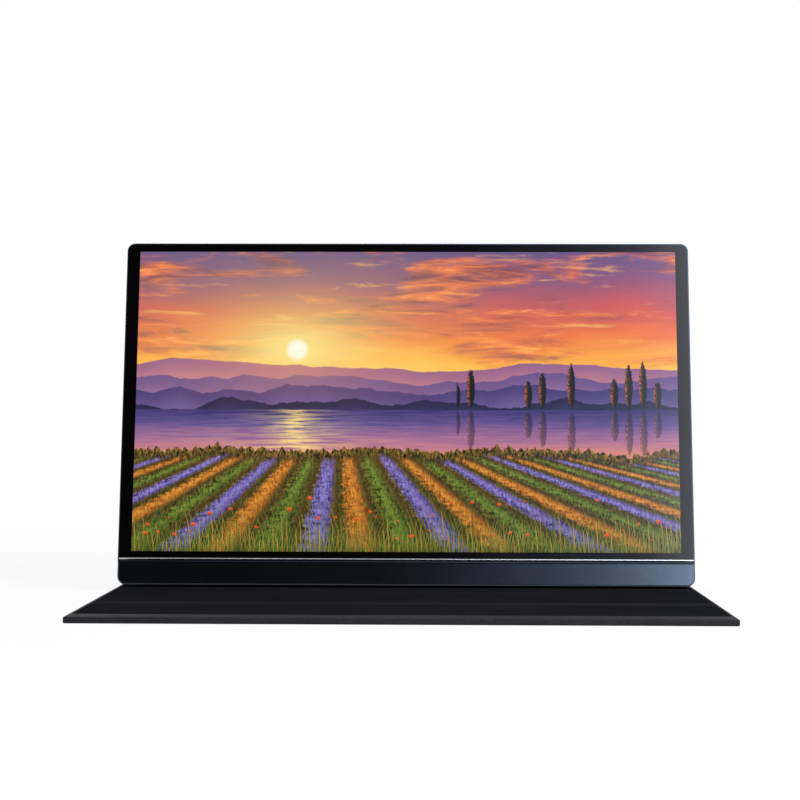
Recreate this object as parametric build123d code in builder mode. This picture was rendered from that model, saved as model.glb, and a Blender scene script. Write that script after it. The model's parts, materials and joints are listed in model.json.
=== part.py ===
from build123d import *
import os
from collections import namedtuple
from math import atan2, cos, degrees, radians, sin, sqrt, tan

# A 15.6 inch portable monitor that stands in its own folio cover. The cover's
# front lid lies on the desk under the monitor's foot, and its back folds into
# a prop behind the screen. Sizes are in millimetres and degrees.
#
# X runs across the screen, Y away from the viewer and Z up. The origin is on
# the desk, straight below the middle of the edge where the monitor's front
# face meets its foot.

# Front of the monitor, from its foot up
chin_face_height = 13.7
groove_height = 1.95
trim_height = 1.1
glass_skirt = 4.06
active_height = 193.59
top_bezel = 5.6

# Front of the monitor, across
active_width = 344.16
side_bezel = 8.42
corner_radius = 5.0

# Layers of the monitor, from its front face back
glass_thickness = 0.8
tape_thickness = 0.3
cell_thickness = 1.2
film_thickness = 0.5
guide_thickness = 1.2
reflector_thickness = 0.2
tray_thickness = 0.4
tray_lip_setback = 0.3
bay_clearance = 0.12
rear_wall = 1.0

# Aluminium case
side_wall = 1.2
rim_width = 0.7
rim_chamfer = 0.25
rear_edge_radius = 1.0
rib_width = 0.8
lower_rib_gap = 1.6
fit_gap = 0.1

# Chin bar
chin_depth = 2.4
chin_wall = 1.2
chin_chamfer = 0.8
groove_depth = 0.8
ridge_width = 0.4
ridge_height = 0.4

# Edges of the display layers beyond the lit area
tape_overlap = 1.5
cell_margin = 2.6
film_margin = 2.2
guide_margin = 1.6

# Backlight
led_pitch = 12.0
led_length = 3.0
led_depth = 0.8
led_reach = 1.2
led_strip = 0.4

# Ribbon that joins the display to its own board
flex_width = 60.0
flex_thickness = 0.2
flex_bend = 0.8

# Circuit boards
board_thickness = 0.8
main_board_width = 80.0
main_board_foot = 24.0
main_board_edge = 3.0
tcon_width = 180.0
tcon_height = 10.0
tcon_foot = 4.4
key_board_width = 10.0
key_board_height = 44.0
key_board_foot = 24.0
key_board_edge = 4.4
ribbon_thickness = 0.2
ribbon_width = 12.0
ribbon_bend = 8.0
signal_run = 24.0
key_ribbon_width = 8.0

# Chips: the picture processor, its memory, power parts and display drivers
processor_size = 14.0
memory_width = 8.0
memory_height = 11.0
power_chip_size = 5.0
power_chip_count = 3
driver_chip_size = 7.0
driver_chip_pitch = 16.0
chip_gap = 3.0
chip_headroom = 0.4

# Sockets on the right-hand side, from the foot up
port_pitch = 17.0
port_margin = 1.8
data_port_width = 8.94
data_port_height = 3.16
data_port_length = 7.35
video_port_width = 11.2
video_port_height = 2.9
video_port_length = 7.5
video_port_slope = 66.0
port_wall = 0.3
port_floor = 0.6
port_setback = 0.15
tongue_thickness = 0.7
tongue_gap = 0.8
tongue_setback = 0.9

# Headphone socket on the left-hand side
jack_bore = 3.6
jack_wall = 0.4
jack_shell = 1.4
jack_length = 14.0
jack_foot = 8.0

# Keys on the left-hand side
key_height = 2.0
key_proud = 0.5
key_chamfer = 0.25
key_flange = 0.6
key_flange_lip = 0.5
power_length = 8.0
power_foot = 30.0
power_travel = 0.35
rocker_length = 14.0
rocker_foot = 52.0
rocker_swing = 2.5
rocker_stem_reach = 5.0
pivot_radius = 0.6
pivot_clearance = 0.05
hub_wall = 0.5
switch_width = 4.0
switch_length = 3.0
switch_height = 2.4
plunger_size = 1.2
plunger_reach = 0.5

# Loudspeakers
speaker_length = 34.0
speaker_height = 9.6
speaker_edge = 44.3
speaker_foot = 2.8
speaker_room = 0.8
speaker_rim = 1.0
speaker_recess = 0.8
cone_margin = 2.4
cone_height = 0.4
slot_rows = 3
slot_pitch = 2.4
slot_length = 26.0
slot_width = 1.2
lead_width = 1.6
lead_thickness = 0.6

# Magnets and the steel that they hold
magnet_length = 20.0
magnet_width = 6.0
magnet_thickness = 1.5
magnet_spread = 105.0
magnet_rows = (142.0, 206.0)
foot_magnet_length = 40.0
foot_magnet_height = 2.3
foot_magnet_depth = 4.5
foot_magnet_offset = 50.0
plate_depth = 16.0
plate_thickness = 0.8
lid_magnet_length = 24.0
lid_magnet_depth = 8.0
lid_magnet_offset = 110.0

# Screws
screw_radius = 0.8
screw_head_radius = 1.5
screw_head_height = 0.5
screw_grip = 0.4
hexagon = 6
boss_radius = 2.2
cover_screw_radius = 1.0
cover_screw_head = 2.0
cover_screw_edge = 19.3
cover_screw_pitch = 55.0
cover_screw_foot = 8.0
post_split = 5.0

# Pads behind the display
support_size = 6.0
support_columns = (50.0, 150.0)
support_rows = (112.0, 176.0)

# Folio cover
skin_thickness = 0.9
stiffener_thickness = 1.8
lining_thickness = 0.9
folio_corner = 2.0
folio_edge_chamfer = 0.9
side_hem = 4.0
front_hem = 16.0
hem_seam = 0.1
crease_from_front = 95.0
crease_width = 1.2
crease_depth = 0.3
strip_thickness = 1.2
spine_setback = 3.0
fold_setback = 2.0
lid_overhang = 1.0

# How the monitor stands in the folio
lean_angle = 10.0
fold_height = 120.0
foot_clearance = 4.0
foot_gap = 0.3
back_gap = 0.3
closing_gap = 0.3

# Heights on the front face, measured up the screen from the foot
chin_top = chin_face_height + groove_height
trim_top = chin_top + trim_height
active_bottom = trim_top + glass_skirt
active_centre = active_bottom + active_height / 2
active_top = active_bottom + active_height
body_height = active_top + top_bezel
body_width = active_width + 2 * side_bezel

# Depths behind the front face
cell_front = glass_thickness + tape_thickness
film_front = cell_front + cell_thickness
guide_front = film_front + film_thickness
reflector_front = guide_front + guide_thickness
tray_floor = reflector_front + reflector_thickness
bay_front = tray_floor + tray_thickness
bay_depth = max(data_port_height, video_port_height) + 2 * bay_clearance
bay_middle = bay_front + bay_depth / 2
bay_back = bay_front + bay_depth
body_thickness = bay_back + rear_wall
board_front = bay_middle - board_thickness / 2
board_back = bay_middle + board_thickness / 2

# Directions of the leaning screen
lean = radians(lean_angle)
up = Vector(0, sin(lean), cos(lean))
towards_viewer = Vector(0, -cos(lean), sin(lean))
depth_axis = Axis((0, 0, 0), towards_viewer)

# The monitor's rounded back edge is what comes nearest to the lid
folio_thickness = skin_thickness + stiffener_thickness + lining_thickness
rounded_lift = rear_edge_radius * (sin(lean) + cos(lean) - 1)
foot_edge_z = folio_thickness + foot_gap + body_thickness * sin(lean) - rounded_lift
foot_edge = Vector(0, 0, foot_edge_z)

# Fold lines of the folio, each in the middle of its thickness
middle_z = folio_thickness / 2
fold_depth = body_thickness + back_gap + folio_thickness / 2
fold_line = foot_edge + up * fold_height - towards_viewer * fold_depth
prop_length = fold_height + foot_clearance
prop_rise = fold_line.Z - middle_z
rear_line = Vector(0, fold_line.Y + sqrt(prop_length**2 - prop_rise**2), middle_z)
prop_angle = degrees(atan2(prop_rise, fold_line.Y - rear_line.Y))
spine_length = body_thickness + folio_thickness + 2 * closing_gap
lid_line = Vector(0, rear_line.Y - spine_length, middle_z)
lid_length = foot_clearance + body_height + lid_overhang
rest_length = body_height - fold_height + lid_overhang
folio_width = body_width

# Levels through a folio panel, from its middle towards the lining
skin_level = -folio_thickness / 2
stiffener_level = skin_level + skin_thickness
lining_level = stiffener_level + stiffener_thickness


def screen_plane(depth=0.0):
    """A plane parallel to the screen, `depth` behind it: local x right, local y up."""
    return Plane(origin=foot_edge - towards_viewer * depth, x_dir=(1, 0, 0), z_dir=towards_viewer)


def side_plane(x=0.0):
    """A plane square to X: local x up the screen, local y towards the viewer."""
    return Plane(origin=foot_edge + Vector(x, 0, 0), x_dir=up, z_dir=(1, 0, 0))


def panel_plane(line, angle):
    """A plane in a folio panel: local y along the panel, local z towards its lining."""
    turn = radians(angle)
    return Plane(origin=line, x_dir=(1, 0, 0), z_dir=(0, -sin(turn), cos(turn)))


def body_outline(inset, low=0.0):
    """The monitor's front outline drawn in by `inset` and cut off below `low`."""
    with BuildSketch() as outline:
        with Locations((0, body_height / 2)):
            RectangleRounded(body_width - 2 * inset, body_height - 2 * inset, corner_radius - inset)
        with Locations((0, (low + body_height) / 2)):
            Rectangle(body_width, body_height - low, mode=Mode.INTERSECT)
    return outline.sketch


def lit_area(margin):
    """The display's lit area with a margin all round."""
    with BuildSketch() as area:
        with Locations((0, active_centre)):
            Rectangle(active_width + 2 * margin, active_height + 2 * margin)
    return area.sketch


def screen_layer(outline, front, thickness):
    """A flat layer of the display with its front face `front` behind the glass."""
    with BuildPart() as layer:
        with BuildSketch(screen_plane(front)):
            add(outline)
        extrude(amount=-thickness)
    return layer


def video_outline(margin):
    """The mini video socket's outline, wide at one face, grown by `margin` all round."""
    growth = 2 * margin / tan(radians(video_port_slope / 2))
    with BuildSketch() as outline:
        Trapezoid(video_port_width + growth, video_port_height + 2 * margin, video_port_slope)
    return outline.sketch


# Places of what sits on the sides and in the bay behind the display
hole_inset = boss_radius + fit_gap
video_place = main_board_foot + 2 * hole_inset + port_margin + video_port_width / 2
data_lower_place = video_place + port_pitch
data_upper_place = data_lower_place + port_pitch
main_board_top = data_upper_place + data_port_width / 2 + port_margin + 2 * hole_inset
main_board_height = main_board_top - main_board_foot
inner_wall_x = body_width / 2 - side_wall
port_face_x = body_width / 2 - port_setback
jack_depth = (chin_depth + bay_back) / 2
jack_radius = jack_bore / 2
jack_collar = jack_radius + jack_wall
plunger_tip_x = inner_wall_x - key_board_edge + switch_length / 2 + plunger_reach
pivot_x = inner_wall_x - pivot_radius - hub_wall - key_flange
pivot_bore = pivot_radius + pivot_clearance
hub_radius = pivot_bore + hub_wall
rocker_room = rocker_length / 2 * sin(radians(rocker_swing)) + fit_gap
rocker_play = (body_width / 2 - pivot_x) * sin(radians(rocker_swing)) + fit_gap
power_gap = power_travel + fit_gap / 2
rocker_gap = rocker_stem_reach * sin(radians(rocker_swing)) + fit_gap / 2
key_flange_height = key_height + 2 * key_flange_lip
main_board_right = inner_wall_x - main_board_edge
main_board_x = main_board_right - main_board_width / 2
main_board_y = main_board_foot + main_board_height / 2
key_board_left = -(inner_wall_x - key_board_edge)
key_board_x = key_board_left + key_board_width / 2
key_board_y = key_board_foot + key_board_height / 2
tcon_y = tcon_foot + tcon_height / 2
speaker_y = speaker_foot + speaker_height / 2
switch_places = [power_foot, rocker_foot - rocker_stem_reach, rocker_foot + rocker_stem_reach]
main_hole_x = main_board_width / 2 - hole_inset
main_hole_y = main_board_height / 2 - hole_inset
main_board_holes = [
    (main_board_x + side * main_hole_x, main_board_y + end * main_hole_y)
    for side in (-1, 1)
    for end in (-1, 1)
]
tcon_holes = [(side * (tcon_width / 2 - hole_inset), tcon_y) for side in (-1, 1)]
key_hole_x = key_board_x + key_board_width / 2 - hole_inset
key_hole_y = key_board_height / 2 - hole_inset
key_board_holes = [(key_hole_x, key_board_y + end * key_hole_y) for end in (-1, 1)]
board_holes = main_board_holes + tcon_holes + key_board_holes
outer_screw_x = inner_wall_x - cover_screw_edge
cover_screw_columns = (outer_screw_x - cover_screw_pitch, outer_screw_x)
cover_screw_places = [(side * x, cover_screw_foot) for x in cover_screw_columns for side in (-1, 1)]
magnet_places = [(x, y) for y in magnet_rows for x in (-magnet_spread, 0, magnet_spread)]
support_places = [(side * x, y) for x in support_columns for y in support_rows for side in (-1, 1)]
speaker_x = inner_wall_x - speaker_edge
speaker_places = [(side * speaker_x, speaker_y) for side in (-1, 1)]
rib_places = [chin_top + lower_rib_gap, (main_board_top + support_rows[0]) / 2]

# Rear cover: a thin aluminium tray with the glass seat, six-sided standoffs, ribs,
# pads, sound slots and the side openings for sockets and keys
full_outline = body_outline(0)
glass_seat = body_outline(rim_width)
case_cavity = body_outline(side_wall)
video_opening = video_outline(fit_gap)
with BuildPart() as rear_cover:
    with BuildSketch(screen_plane()):
        add(full_outline)
    extrude(amount=-body_thickness)
    fillet(rear_cover.faces().sort_by(depth_axis)[0].edges(), rear_edge_radius)
    chamfer(rear_cover.faces().sort_by(depth_axis)[-1].edges(), rim_chamfer)
    with BuildSketch(screen_plane()):
        add(glass_seat)
    extrude(amount=-glass_thickness, mode=Mode.SUBTRACT)
    with BuildSketch(screen_plane(glass_thickness)):
        add(case_cavity)
    extrude(amount=-(bay_back - glass_thickness), mode=Mode.SUBTRACT)
    with BuildSketch(screen_plane()):
        with Locations((0, 0)):
            Rectangle(body_width + 2 * side_wall, 2 * chin_top)
    extrude(amount=-chin_depth, mode=Mode.SUBTRACT)
    with BuildSketch(screen_plane(board_back)):
        with Locations(*board_holes):
            RegularPolygon(boss_radius, hexagon)
    extrude(amount=-(bay_back - board_back))
    with BuildSketch(screen_plane(board_back)):
        for rib_y in rib_places:
            with Locations((0, rib_y)):
                Rectangle(2 * inner_wall_x, rib_width)
    extrude(amount=-(bay_back - board_back))
    with BuildSketch(screen_plane(bay_front)):
        with Locations(*support_places):
            Rectangle(support_size, support_size)
    extrude(amount=-bay_depth)
    with BuildSketch(screen_plane(post_split)):
        with Locations(*cover_screw_places):
            RegularPolygon(boss_radius, hexagon)
    extrude(amount=-(bay_back - post_split))
    with BuildSketch(screen_plane(board_back)):
        with Locations(*board_holes):
            RegularPolygon(screw_radius, hexagon)
    extrude(amount=-(bay_back - board_back + screw_grip), mode=Mode.SUBTRACT)
    with BuildSketch(screen_plane(post_split)):
        with Locations(*cover_screw_places):
            Circle(cover_screw_radius + fit_gap / 2)
    extrude(amount=-(body_thickness - post_split), mode=Mode.SUBTRACT)
    with BuildSketch(screen_plane(body_thickness)):
        with Locations(*cover_screw_places):
            Circle(cover_screw_head)
    extrude(amount=cover_screw_head - cover_screw_radius, taper=45, mode=Mode.SUBTRACT)
    with BuildSketch(screen_plane(bay_back)):
        for speaker_place in speaker_places:
            with Locations(speaker_place):
                with GridLocations(0, slot_pitch, 1, slot_rows):
                    SlotOverall(slot_length, slot_width)
    extrude(amount=-rear_wall, mode=Mode.SUBTRACT)
    with BuildSketch(side_plane(inner_wall_x)):
        with Locations((data_lower_place, -bay_middle), (data_upper_place, -bay_middle)):
            SlotOverall(data_port_width + 2 * fit_gap, data_port_height + 2 * fit_gap)
        with Locations((video_place, -bay_middle)):
            add(video_opening)
    extrude(amount=side_wall, mode=Mode.SUBTRACT)
    with BuildSketch(side_plane(-inner_wall_x)):
        with Locations((jack_foot, -jack_depth)):
            Circle(jack_collar + fit_gap / 2)
        with Locations((power_foot, -bay_middle)):
            SlotOverall(power_length + 2 * fit_gap, key_height + 2 * fit_gap)
        with Locations((rocker_foot, -bay_middle)):
            SlotOverall(rocker_length + 2 * rocker_play, key_height + 2 * fit_gap)
    extrude(amount=-side_wall, mode=Mode.SUBTRACT)

# Chin bar: a metal bar under the glass with a ridged groove and a chamfer round
# its foot and ends, held by screws that reach its posts from behind
chin_inside = body_outline(chin_wall)
ridge_y = chin_face_height + groove_height / 2
chin_inside_front = groove_depth + chin_wall
with BuildPart() as chin_bar:
    with BuildSketch(screen_plane()):
        add(full_outline)
        with Locations((0, (chin_top + body_height) / 2)):
            Rectangle(body_width, body_height - chin_top, mode=Mode.SUBTRACT)
    extrude(amount=-chin_depth)
    front_edges = chin_bar.faces().sort_by(depth_axis)[-1].edges().sort_by(Axis((0, 0, 0), up))
    chamfer(front_edges[:-1], chin_chamfer)
    with BuildSketch(screen_plane(chin_inside_front)):
        add(chin_inside)
        with Locations((0, (chin_top + body_height) / 2)):
            Rectangle(body_width, body_height - chin_top, mode=Mode.SUBTRACT)
    extrude(amount=-chin_depth, mode=Mode.SUBTRACT)
    with BuildSketch(screen_plane()):
        with Locations((0, ridge_y)):
            Rectangle(body_width, groove_height)
    extrude(amount=-groove_depth, mode=Mode.SUBTRACT)
    with BuildSketch(screen_plane(groove_depth)):
        with Locations((0, ridge_y)):
            Rectangle(body_width - 2 * corner_radius, ridge_width)
    extrude(amount=ridge_height)
    with BuildSketch(screen_plane(chin_inside_front)):
        with Locations(*cover_screw_places):
            RegularPolygon(boss_radius, hexagon)
    extrude(amount=-(post_split - chin_inside_front))
    with BuildSketch(screen_plane(chin_inside_front + screw_grip)):
        with Locations(*cover_screw_places):
            RegularPolygon(cover_screw_radius + fit_gap / 2, hexagon)
    extrude(amount=-(post_split - chin_inside_front), mode=Mode.SUBTRACT)

# Polished trim strip between the chin bar and the glass
with BuildPart() as trim_strip:
    with BuildSketch(screen_plane()):
        with Locations((0, (chin_top + trim_top) / 2)):
            Rectangle(body_width - 2 * rim_width - fit_gap, trim_height)
    extrude(amount=-glass_thickness)

# Display stack, from the glass back to the steel tray
frame_foot = trim_top - trim_height / 2
tray_margin = cell_margin + fit_gap + tray_thickness
frame_outline = body_outline(side_wall + fit_gap, frame_foot)
glass_outline = body_outline(rim_width + fit_gap / 2, trim_top + fit_gap / 2)
cover_glass = screen_layer(glass_outline, 0, glass_thickness)
lcd_cell = screen_layer(lit_area(cell_margin), cell_front, cell_thickness)
diffuser_films = screen_layer(lit_area(film_margin), film_front, film_thickness)
reflector = screen_layer(lit_area(film_margin), reflector_front, reflector_thickness)

# Adhesive tape that holds the glass to the mid frame
tape_window = lit_area(tape_overlap)
with BuildPart() as glass_tape:
    with BuildSketch(screen_plane(glass_thickness)):
        add(frame_outline)
        add(tape_window, mode=Mode.SUBTRACT)
    extrude(amount=-tape_thickness)

# Mid frame: a moulded ring round the display, cut away where the flex leaves
module_outline = lit_area(tray_margin + fit_gap)
flex_back = film_front
flex_front = flex_back - flex_thickness
with BuildPart() as mid_frame:
    with BuildSketch(screen_plane(cell_front)):
        add(frame_outline)
        add(module_outline, mode=Mode.SUBTRACT)
    extrude(amount=-(bay_front - cell_front))
    with BuildSketch(screen_plane(flex_front - fit_gap)):
        with Locations((0, frame_foot)):
            Rectangle(flex_width + 2 * fit_gap, 2 * (active_bottom - frame_foot))
    extrude(amount=-bay_front, mode=Mode.SUBTRACT)

# Steel tray: a floor behind the reflector and a lip round the display
tray_outline = lit_area(tray_margin)
tray_inside = lit_area(tray_margin - tray_thickness)
lip_front = cell_front + tray_lip_setback
with BuildPart() as panel_tray:
    with BuildSketch(screen_plane(lip_front)):
        add(tray_outline)
    extrude(amount=-(bay_front - lip_front))
    with BuildSketch(screen_plane(lip_front)):
        add(tray_inside)
    extrude(amount=-(tray_floor - lip_front), mode=Mode.SUBTRACT)
    with BuildSketch(screen_plane(lip_front)):
        with Locations((0, active_bottom - tray_margin)):
            Rectangle(flex_width + 2 * fit_gap, 2 * tray_thickness)
    extrude(amount=-(flex_back + fit_gap - lip_front), mode=Mode.SUBTRACT)

# LED bar on the tray's lower lip, and the light guide above it
led_foot = active_bottom - tray_margin + tray_thickness
led_top = led_foot + led_strip + led_reach
led_count = int(active_width / led_pitch)
led_front = guide_front + (guide_thickness - led_depth) / 2
with BuildPart() as led_bar:
    with BuildSketch(screen_plane(led_front)):
        with Locations((0, led_foot + led_strip / 2)):
            Rectangle(active_width, led_strip)
        with Locations((0, led_foot + led_strip + led_reach / 2)):
            with GridLocations(led_pitch, 0, led_count, 1):
                Rectangle(led_length, led_reach)
    extrude(amount=-led_depth)

guide_foot = led_top + fit_gap
guide_top = active_top + guide_margin
with BuildPart() as light_guide:
    with BuildSketch(screen_plane(guide_front)):
        with Locations((0, (guide_foot + guide_top) / 2)):
            Rectangle(active_width + 2 * guide_margin, guide_top - guide_foot)
    extrude(amount=-guide_thickness)

# Display board in the chin, and the flex that bends back to it from the cell
with BuildPart() as tcon_board:
    with BuildSketch(screen_plane(board_front)):
        with Locations((0, tcon_y)):
            Rectangle(tcon_width, tcon_height)
        with Locations(*tcon_holes):
            Circle(screw_radius + fit_gap, mode=Mode.SUBTRACT)
    extrude(amount=-board_thickness)

flex_middle = flex_back - flex_thickness / 2
flex_turn = frame_foot - flex_bend - fit_gap
tcon_top = tcon_foot + tcon_height
flex_land = board_front - flex_thickness / 2
with BuildPart() as panel_flex:
    with BuildSketch(side_plane()):
        with BuildLine():
            FilletPolyline(
                (active_bottom - cell_margin, -flex_middle),
                (flex_turn, -flex_middle),
                (tcon_top - 2 * flex_bend, -flex_land),
                (tcon_y, -flex_land),
                radius=flex_bend,
            )
        trace(line_width=flex_thickness)
    extrude(amount=flex_width / 2, both=True)

# Main board, notched for the sockets that sit half in its thickness
socket_places = [(video_place, video_port_width, video_port_length)]
socket_places += [(data_lower_place, data_port_width, data_port_length)]
socket_places += [(data_upper_place, data_port_width, data_port_length)]
with BuildPart() as main_board:
    with BuildSketch(screen_plane(board_front)):
        with Locations((main_board_x, main_board_y)):
            Rectangle(main_board_width, main_board_height)
        with Locations(*main_board_holes):
            Circle(screw_radius + fit_gap, mode=Mode.SUBTRACT)
        for place, width, length in socket_places:
            with Locations((port_face_x - length / 2, place)):
                Rectangle(length + 2 * fit_gap, width + 2 * fit_gap, mode=Mode.SUBTRACT)
    extrude(amount=-board_thickness)

# Chips on the fronts of both boards
chip_height = board_front - bay_front - chip_headroom
processor_y = main_board_y + chip_gap
memory_x = main_board_x - (processor_size + memory_width) / 2 - chip_gap
power_chip_y = processor_y - (processor_size + power_chip_size) / 2 - chip_gap
with BuildPart() as board_chips:
    with BuildSketch(screen_plane(board_front)):
        with Locations((main_board_x, processor_y)):
            Rectangle(processor_size, processor_size)
        with Locations((memory_x, processor_y)):
            Rectangle(memory_width, memory_height)
        with Locations((main_board_x, power_chip_y)):
            with GridLocations(power_chip_size + chip_gap, 0, power_chip_count, 1):
                Rectangle(power_chip_size, power_chip_size)
        with Locations((-tcon_width / 4, tcon_y)):
            with GridLocations(driver_chip_pitch, 0, 2, 1):
                Rectangle(driver_chip_size, driver_chip_size)
    extrude(amount=chip_height)

# Ribbons: display board to main board, and key board to main board
main_board_left = main_board_right - main_board_width
ribbon_end = main_board_left + ribbon_width / 2
signal_x = ribbon_end - signal_run
signal_y = main_board_foot + ribbon_width
with BuildPart() as signal_ribbon:
    with BuildSketch(screen_plane(board_front)):
        with BuildLine():
            FilletPolyline(
                (signal_x, tcon_y),
                (signal_x, signal_y),
                (ribbon_end, signal_y),
                radius=ribbon_bend,
            )
        trace(line_width=ribbon_width)
    extrude(amount=ribbon_thickness)

key_ribbon_y = key_board_foot + key_board_height - ribbon_width
with BuildPart() as key_ribbon:
    with BuildSketch(screen_plane(board_front)):
        with Locations(((key_board_x + ribbon_end) / 2, key_ribbon_y)):
            Rectangle(ribbon_end - key_board_x, key_ribbon_width)
    extrude(amount=ribbon_thickness)


def data_socket(place):
    """A reversible data socket: a rolled shell with an oval mouth and its contact tongue."""
    with BuildPart() as socket:
        with BuildSketch(side_plane(port_face_x)):
            with Locations((place, -bay_middle)):
                SlotOverall(data_port_width, data_port_height)
        extrude(amount=-data_port_length)
        with BuildSketch(side_plane(port_face_x)):
            with Locations((place, -bay_middle)):
                SlotOverall(data_port_width - 2 * port_wall, data_port_height - 2 * port_wall)
        extrude(amount=-(data_port_length - port_floor), mode=Mode.SUBTRACT)
        with BuildSketch(side_plane(port_face_x - data_port_length)):
            with Locations((place, -bay_middle)):
                Rectangle(data_port_width - 2 * (port_wall + tongue_gap), tongue_thickness)
        extrude(amount=data_port_length - tongue_setback)
    return socket


data_port_lower = data_socket(data_lower_place)
data_port_upper = data_socket(data_upper_place)

# Mini video socket: wide at one face, drawn in at the other
video_shell = video_outline(0)
video_mouth = video_outline(-port_wall)
video_narrow_width = video_port_width - 2 * video_port_height / tan(radians(video_port_slope))
with BuildPart() as mini_video_port:
    with BuildSketch(side_plane(port_face_x)):
        with Locations((video_place, -bay_middle)):
            add(video_shell)
    extrude(amount=-video_port_length)
    with BuildSketch(side_plane(port_face_x)):
        with Locations((video_place, -bay_middle)):
            add(video_mouth)
    extrude(amount=-(video_port_length - port_floor), mode=Mode.SUBTRACT)
    with BuildSketch(side_plane(port_face_x - video_port_length)):
        with Locations((video_place, -bay_middle)):
            Rectangle(video_narrow_width - 2 * (port_wall + tongue_gap), tongue_thickness)
    extrude(amount=video_port_length - tongue_setback)

# Headphone socket: a moulded block with a metal collar through the case wall
with BuildPart() as audio_jack:
    with BuildSketch(side_plane(-inner_wall_x)):
        with Locations((jack_foot, -jack_depth)):
            Rectangle(jack_bore + 2 * jack_shell, 2 * jack_collar + jack_wall)
    extrude(amount=jack_length - side_wall)
    with BuildSketch(side_plane(-body_width / 2 + fit_gap / 2)):
        with Locations((jack_foot, -jack_depth)):
            Circle(jack_collar)
    extrude(amount=side_wall)
    with BuildSketch(side_plane(-body_width / 2)):
        with Locations((jack_foot, -jack_depth)):
            Circle(jack_radius)
    extrude(amount=jack_length - jack_wall, mode=Mode.SUBTRACT)

# Key board, with a notch for each side switch
switch_middle_x = key_board_left
with BuildPart() as key_board:
    with BuildSketch(screen_plane(board_front)):
        with Locations((key_board_x, key_board_y)):
            Rectangle(key_board_width, key_board_height)
        with Locations(*key_board_holes):
            Circle(screw_radius + fit_gap, mode=Mode.SUBTRACT)
        for place in switch_places:
            with Locations((switch_middle_x, place)):
                Rectangle(switch_length + 2 * fit_gap, switch_width + 2 * fit_gap, mode=Mode.SUBTRACT)
    extrude(amount=-board_thickness)

with BuildPart() as key_switches:
    with BuildSketch(side_plane(switch_middle_x + switch_length / 2)):
        for place in switch_places:
            with Locations((place, -bay_middle)):
                Rectangle(switch_width, switch_height)
    extrude(amount=-switch_length)
    with BuildSketch(side_plane(switch_middle_x - switch_length / 2)):
        for place in switch_places:
            with Locations((place, -bay_middle)):
                Rectangle(plunger_size, plunger_size)
    extrude(amount=-plunger_reach)

# Power key: an oval cap in the left wall, a flange that keeps it in and a stem
# that stops short of its switch by the key's travel
power_flange_x = inner_wall_x - fit_gap / 2
power_stem = power_flange_x - key_flange - plunger_tip_x - power_gap
with BuildPart() as power_button:
    with BuildSketch(side_plane(-body_width / 2 - key_proud)):
        with Locations((power_foot, -bay_middle)):
            SlotOverall(power_length, key_height)
    extrude(amount=body_width / 2 + key_proud - power_flange_x)
    chamfer(power_button.faces().sort_by(Axis.X)[0].edges(), key_chamfer)
    with BuildSketch(side_plane(-power_flange_x)):
        with Locations((power_foot, -bay_middle)):
            Rectangle(power_length + 2 * key_flange_lip, key_flange_height)
    extrude(amount=key_flange)
    with BuildSketch(side_plane(key_flange - power_flange_x)):
        with Locations((power_foot, -bay_middle)):
            Rectangle(plunger_size, plunger_size)
    extrude(amount=power_stem)

# Menu rocker: a bar key that tips about a steel pin to press either switch
rocker_flange_x = inner_wall_x - rocker_room
rocker_stem = rocker_flange_x - key_flange - plunger_tip_x - rocker_gap
stem_places = [rocker_foot - rocker_stem_reach, rocker_foot + rocker_stem_reach]
with BuildPart() as menu_rocker:
    with BuildSketch(side_plane(-body_width / 2 - key_proud)):
        with Locations((rocker_foot, -bay_middle)):
            SlotOverall(rocker_length, key_height)
    extrude(amount=body_width / 2 + key_proud - rocker_flange_x)
    chamfer(menu_rocker.faces().sort_by(Axis.X)[0].edges(), key_chamfer)
    with BuildSketch(side_plane(-rocker_flange_x)):
        with Locations((rocker_foot, -bay_middle)):
            Rectangle(rocker_length + 2 * key_flange_lip, key_flange_height)
    extrude(amount=key_flange)
    with BuildSketch(side_plane(key_flange - rocker_flange_x)):
        for place in stem_places:
            with Locations((place, -bay_middle)):
                Rectangle(plunger_size, plunger_size)
    extrude(amount=rocker_stem)
    with BuildSketch(screen_plane(bay_middle - key_flange_height / 2)):
        with Locations((-pivot_x, rocker_foot)):
            Circle(hub_radius)
    extrude(amount=-key_flange_height)
    with BuildSketch(screen_plane(bay_front)):
        with Locations((-pivot_x, rocker_foot)):
            Circle(pivot_bore)
    extrude(amount=-bay_depth, mode=Mode.SUBTRACT)

with BuildPart() as rocker_pin:
    with BuildSketch(screen_plane(bay_middle - key_flange_height / 2)):
        with Locations((-pivot_x, rocker_foot)):
            Circle(pivot_radius)
    extrude(amount=-(bay_depth / 2 + key_flange_height / 2))


def speaker(place):
    """A closed loudspeaker box whose rim seals against the back behind the sound slots."""
    front = chin_inside_front + speaker_room
    with BuildPart() as box:
        with BuildSketch(screen_plane(front)):
            with Locations(place):
                Rectangle(speaker_length, speaker_height)
        extrude(amount=-(bay_back - front))
        with BuildSketch(screen_plane(bay_back)):
            with Locations(place):
                Rectangle(speaker_length - 2 * speaker_rim, speaker_height - 2 * speaker_rim)
        extrude(amount=speaker_recess, mode=Mode.SUBTRACT)
        with BuildSketch(screen_plane(bay_back - speaker_recess)):
            with Locations(place):
                SlotOverall(speaker_length - 2 * cone_margin, speaker_height - 2 * cone_margin)
        extrude(amount=-cone_height)
    return box


speaker_left, speaker_right = [speaker(place) for place in speaker_places]

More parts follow.
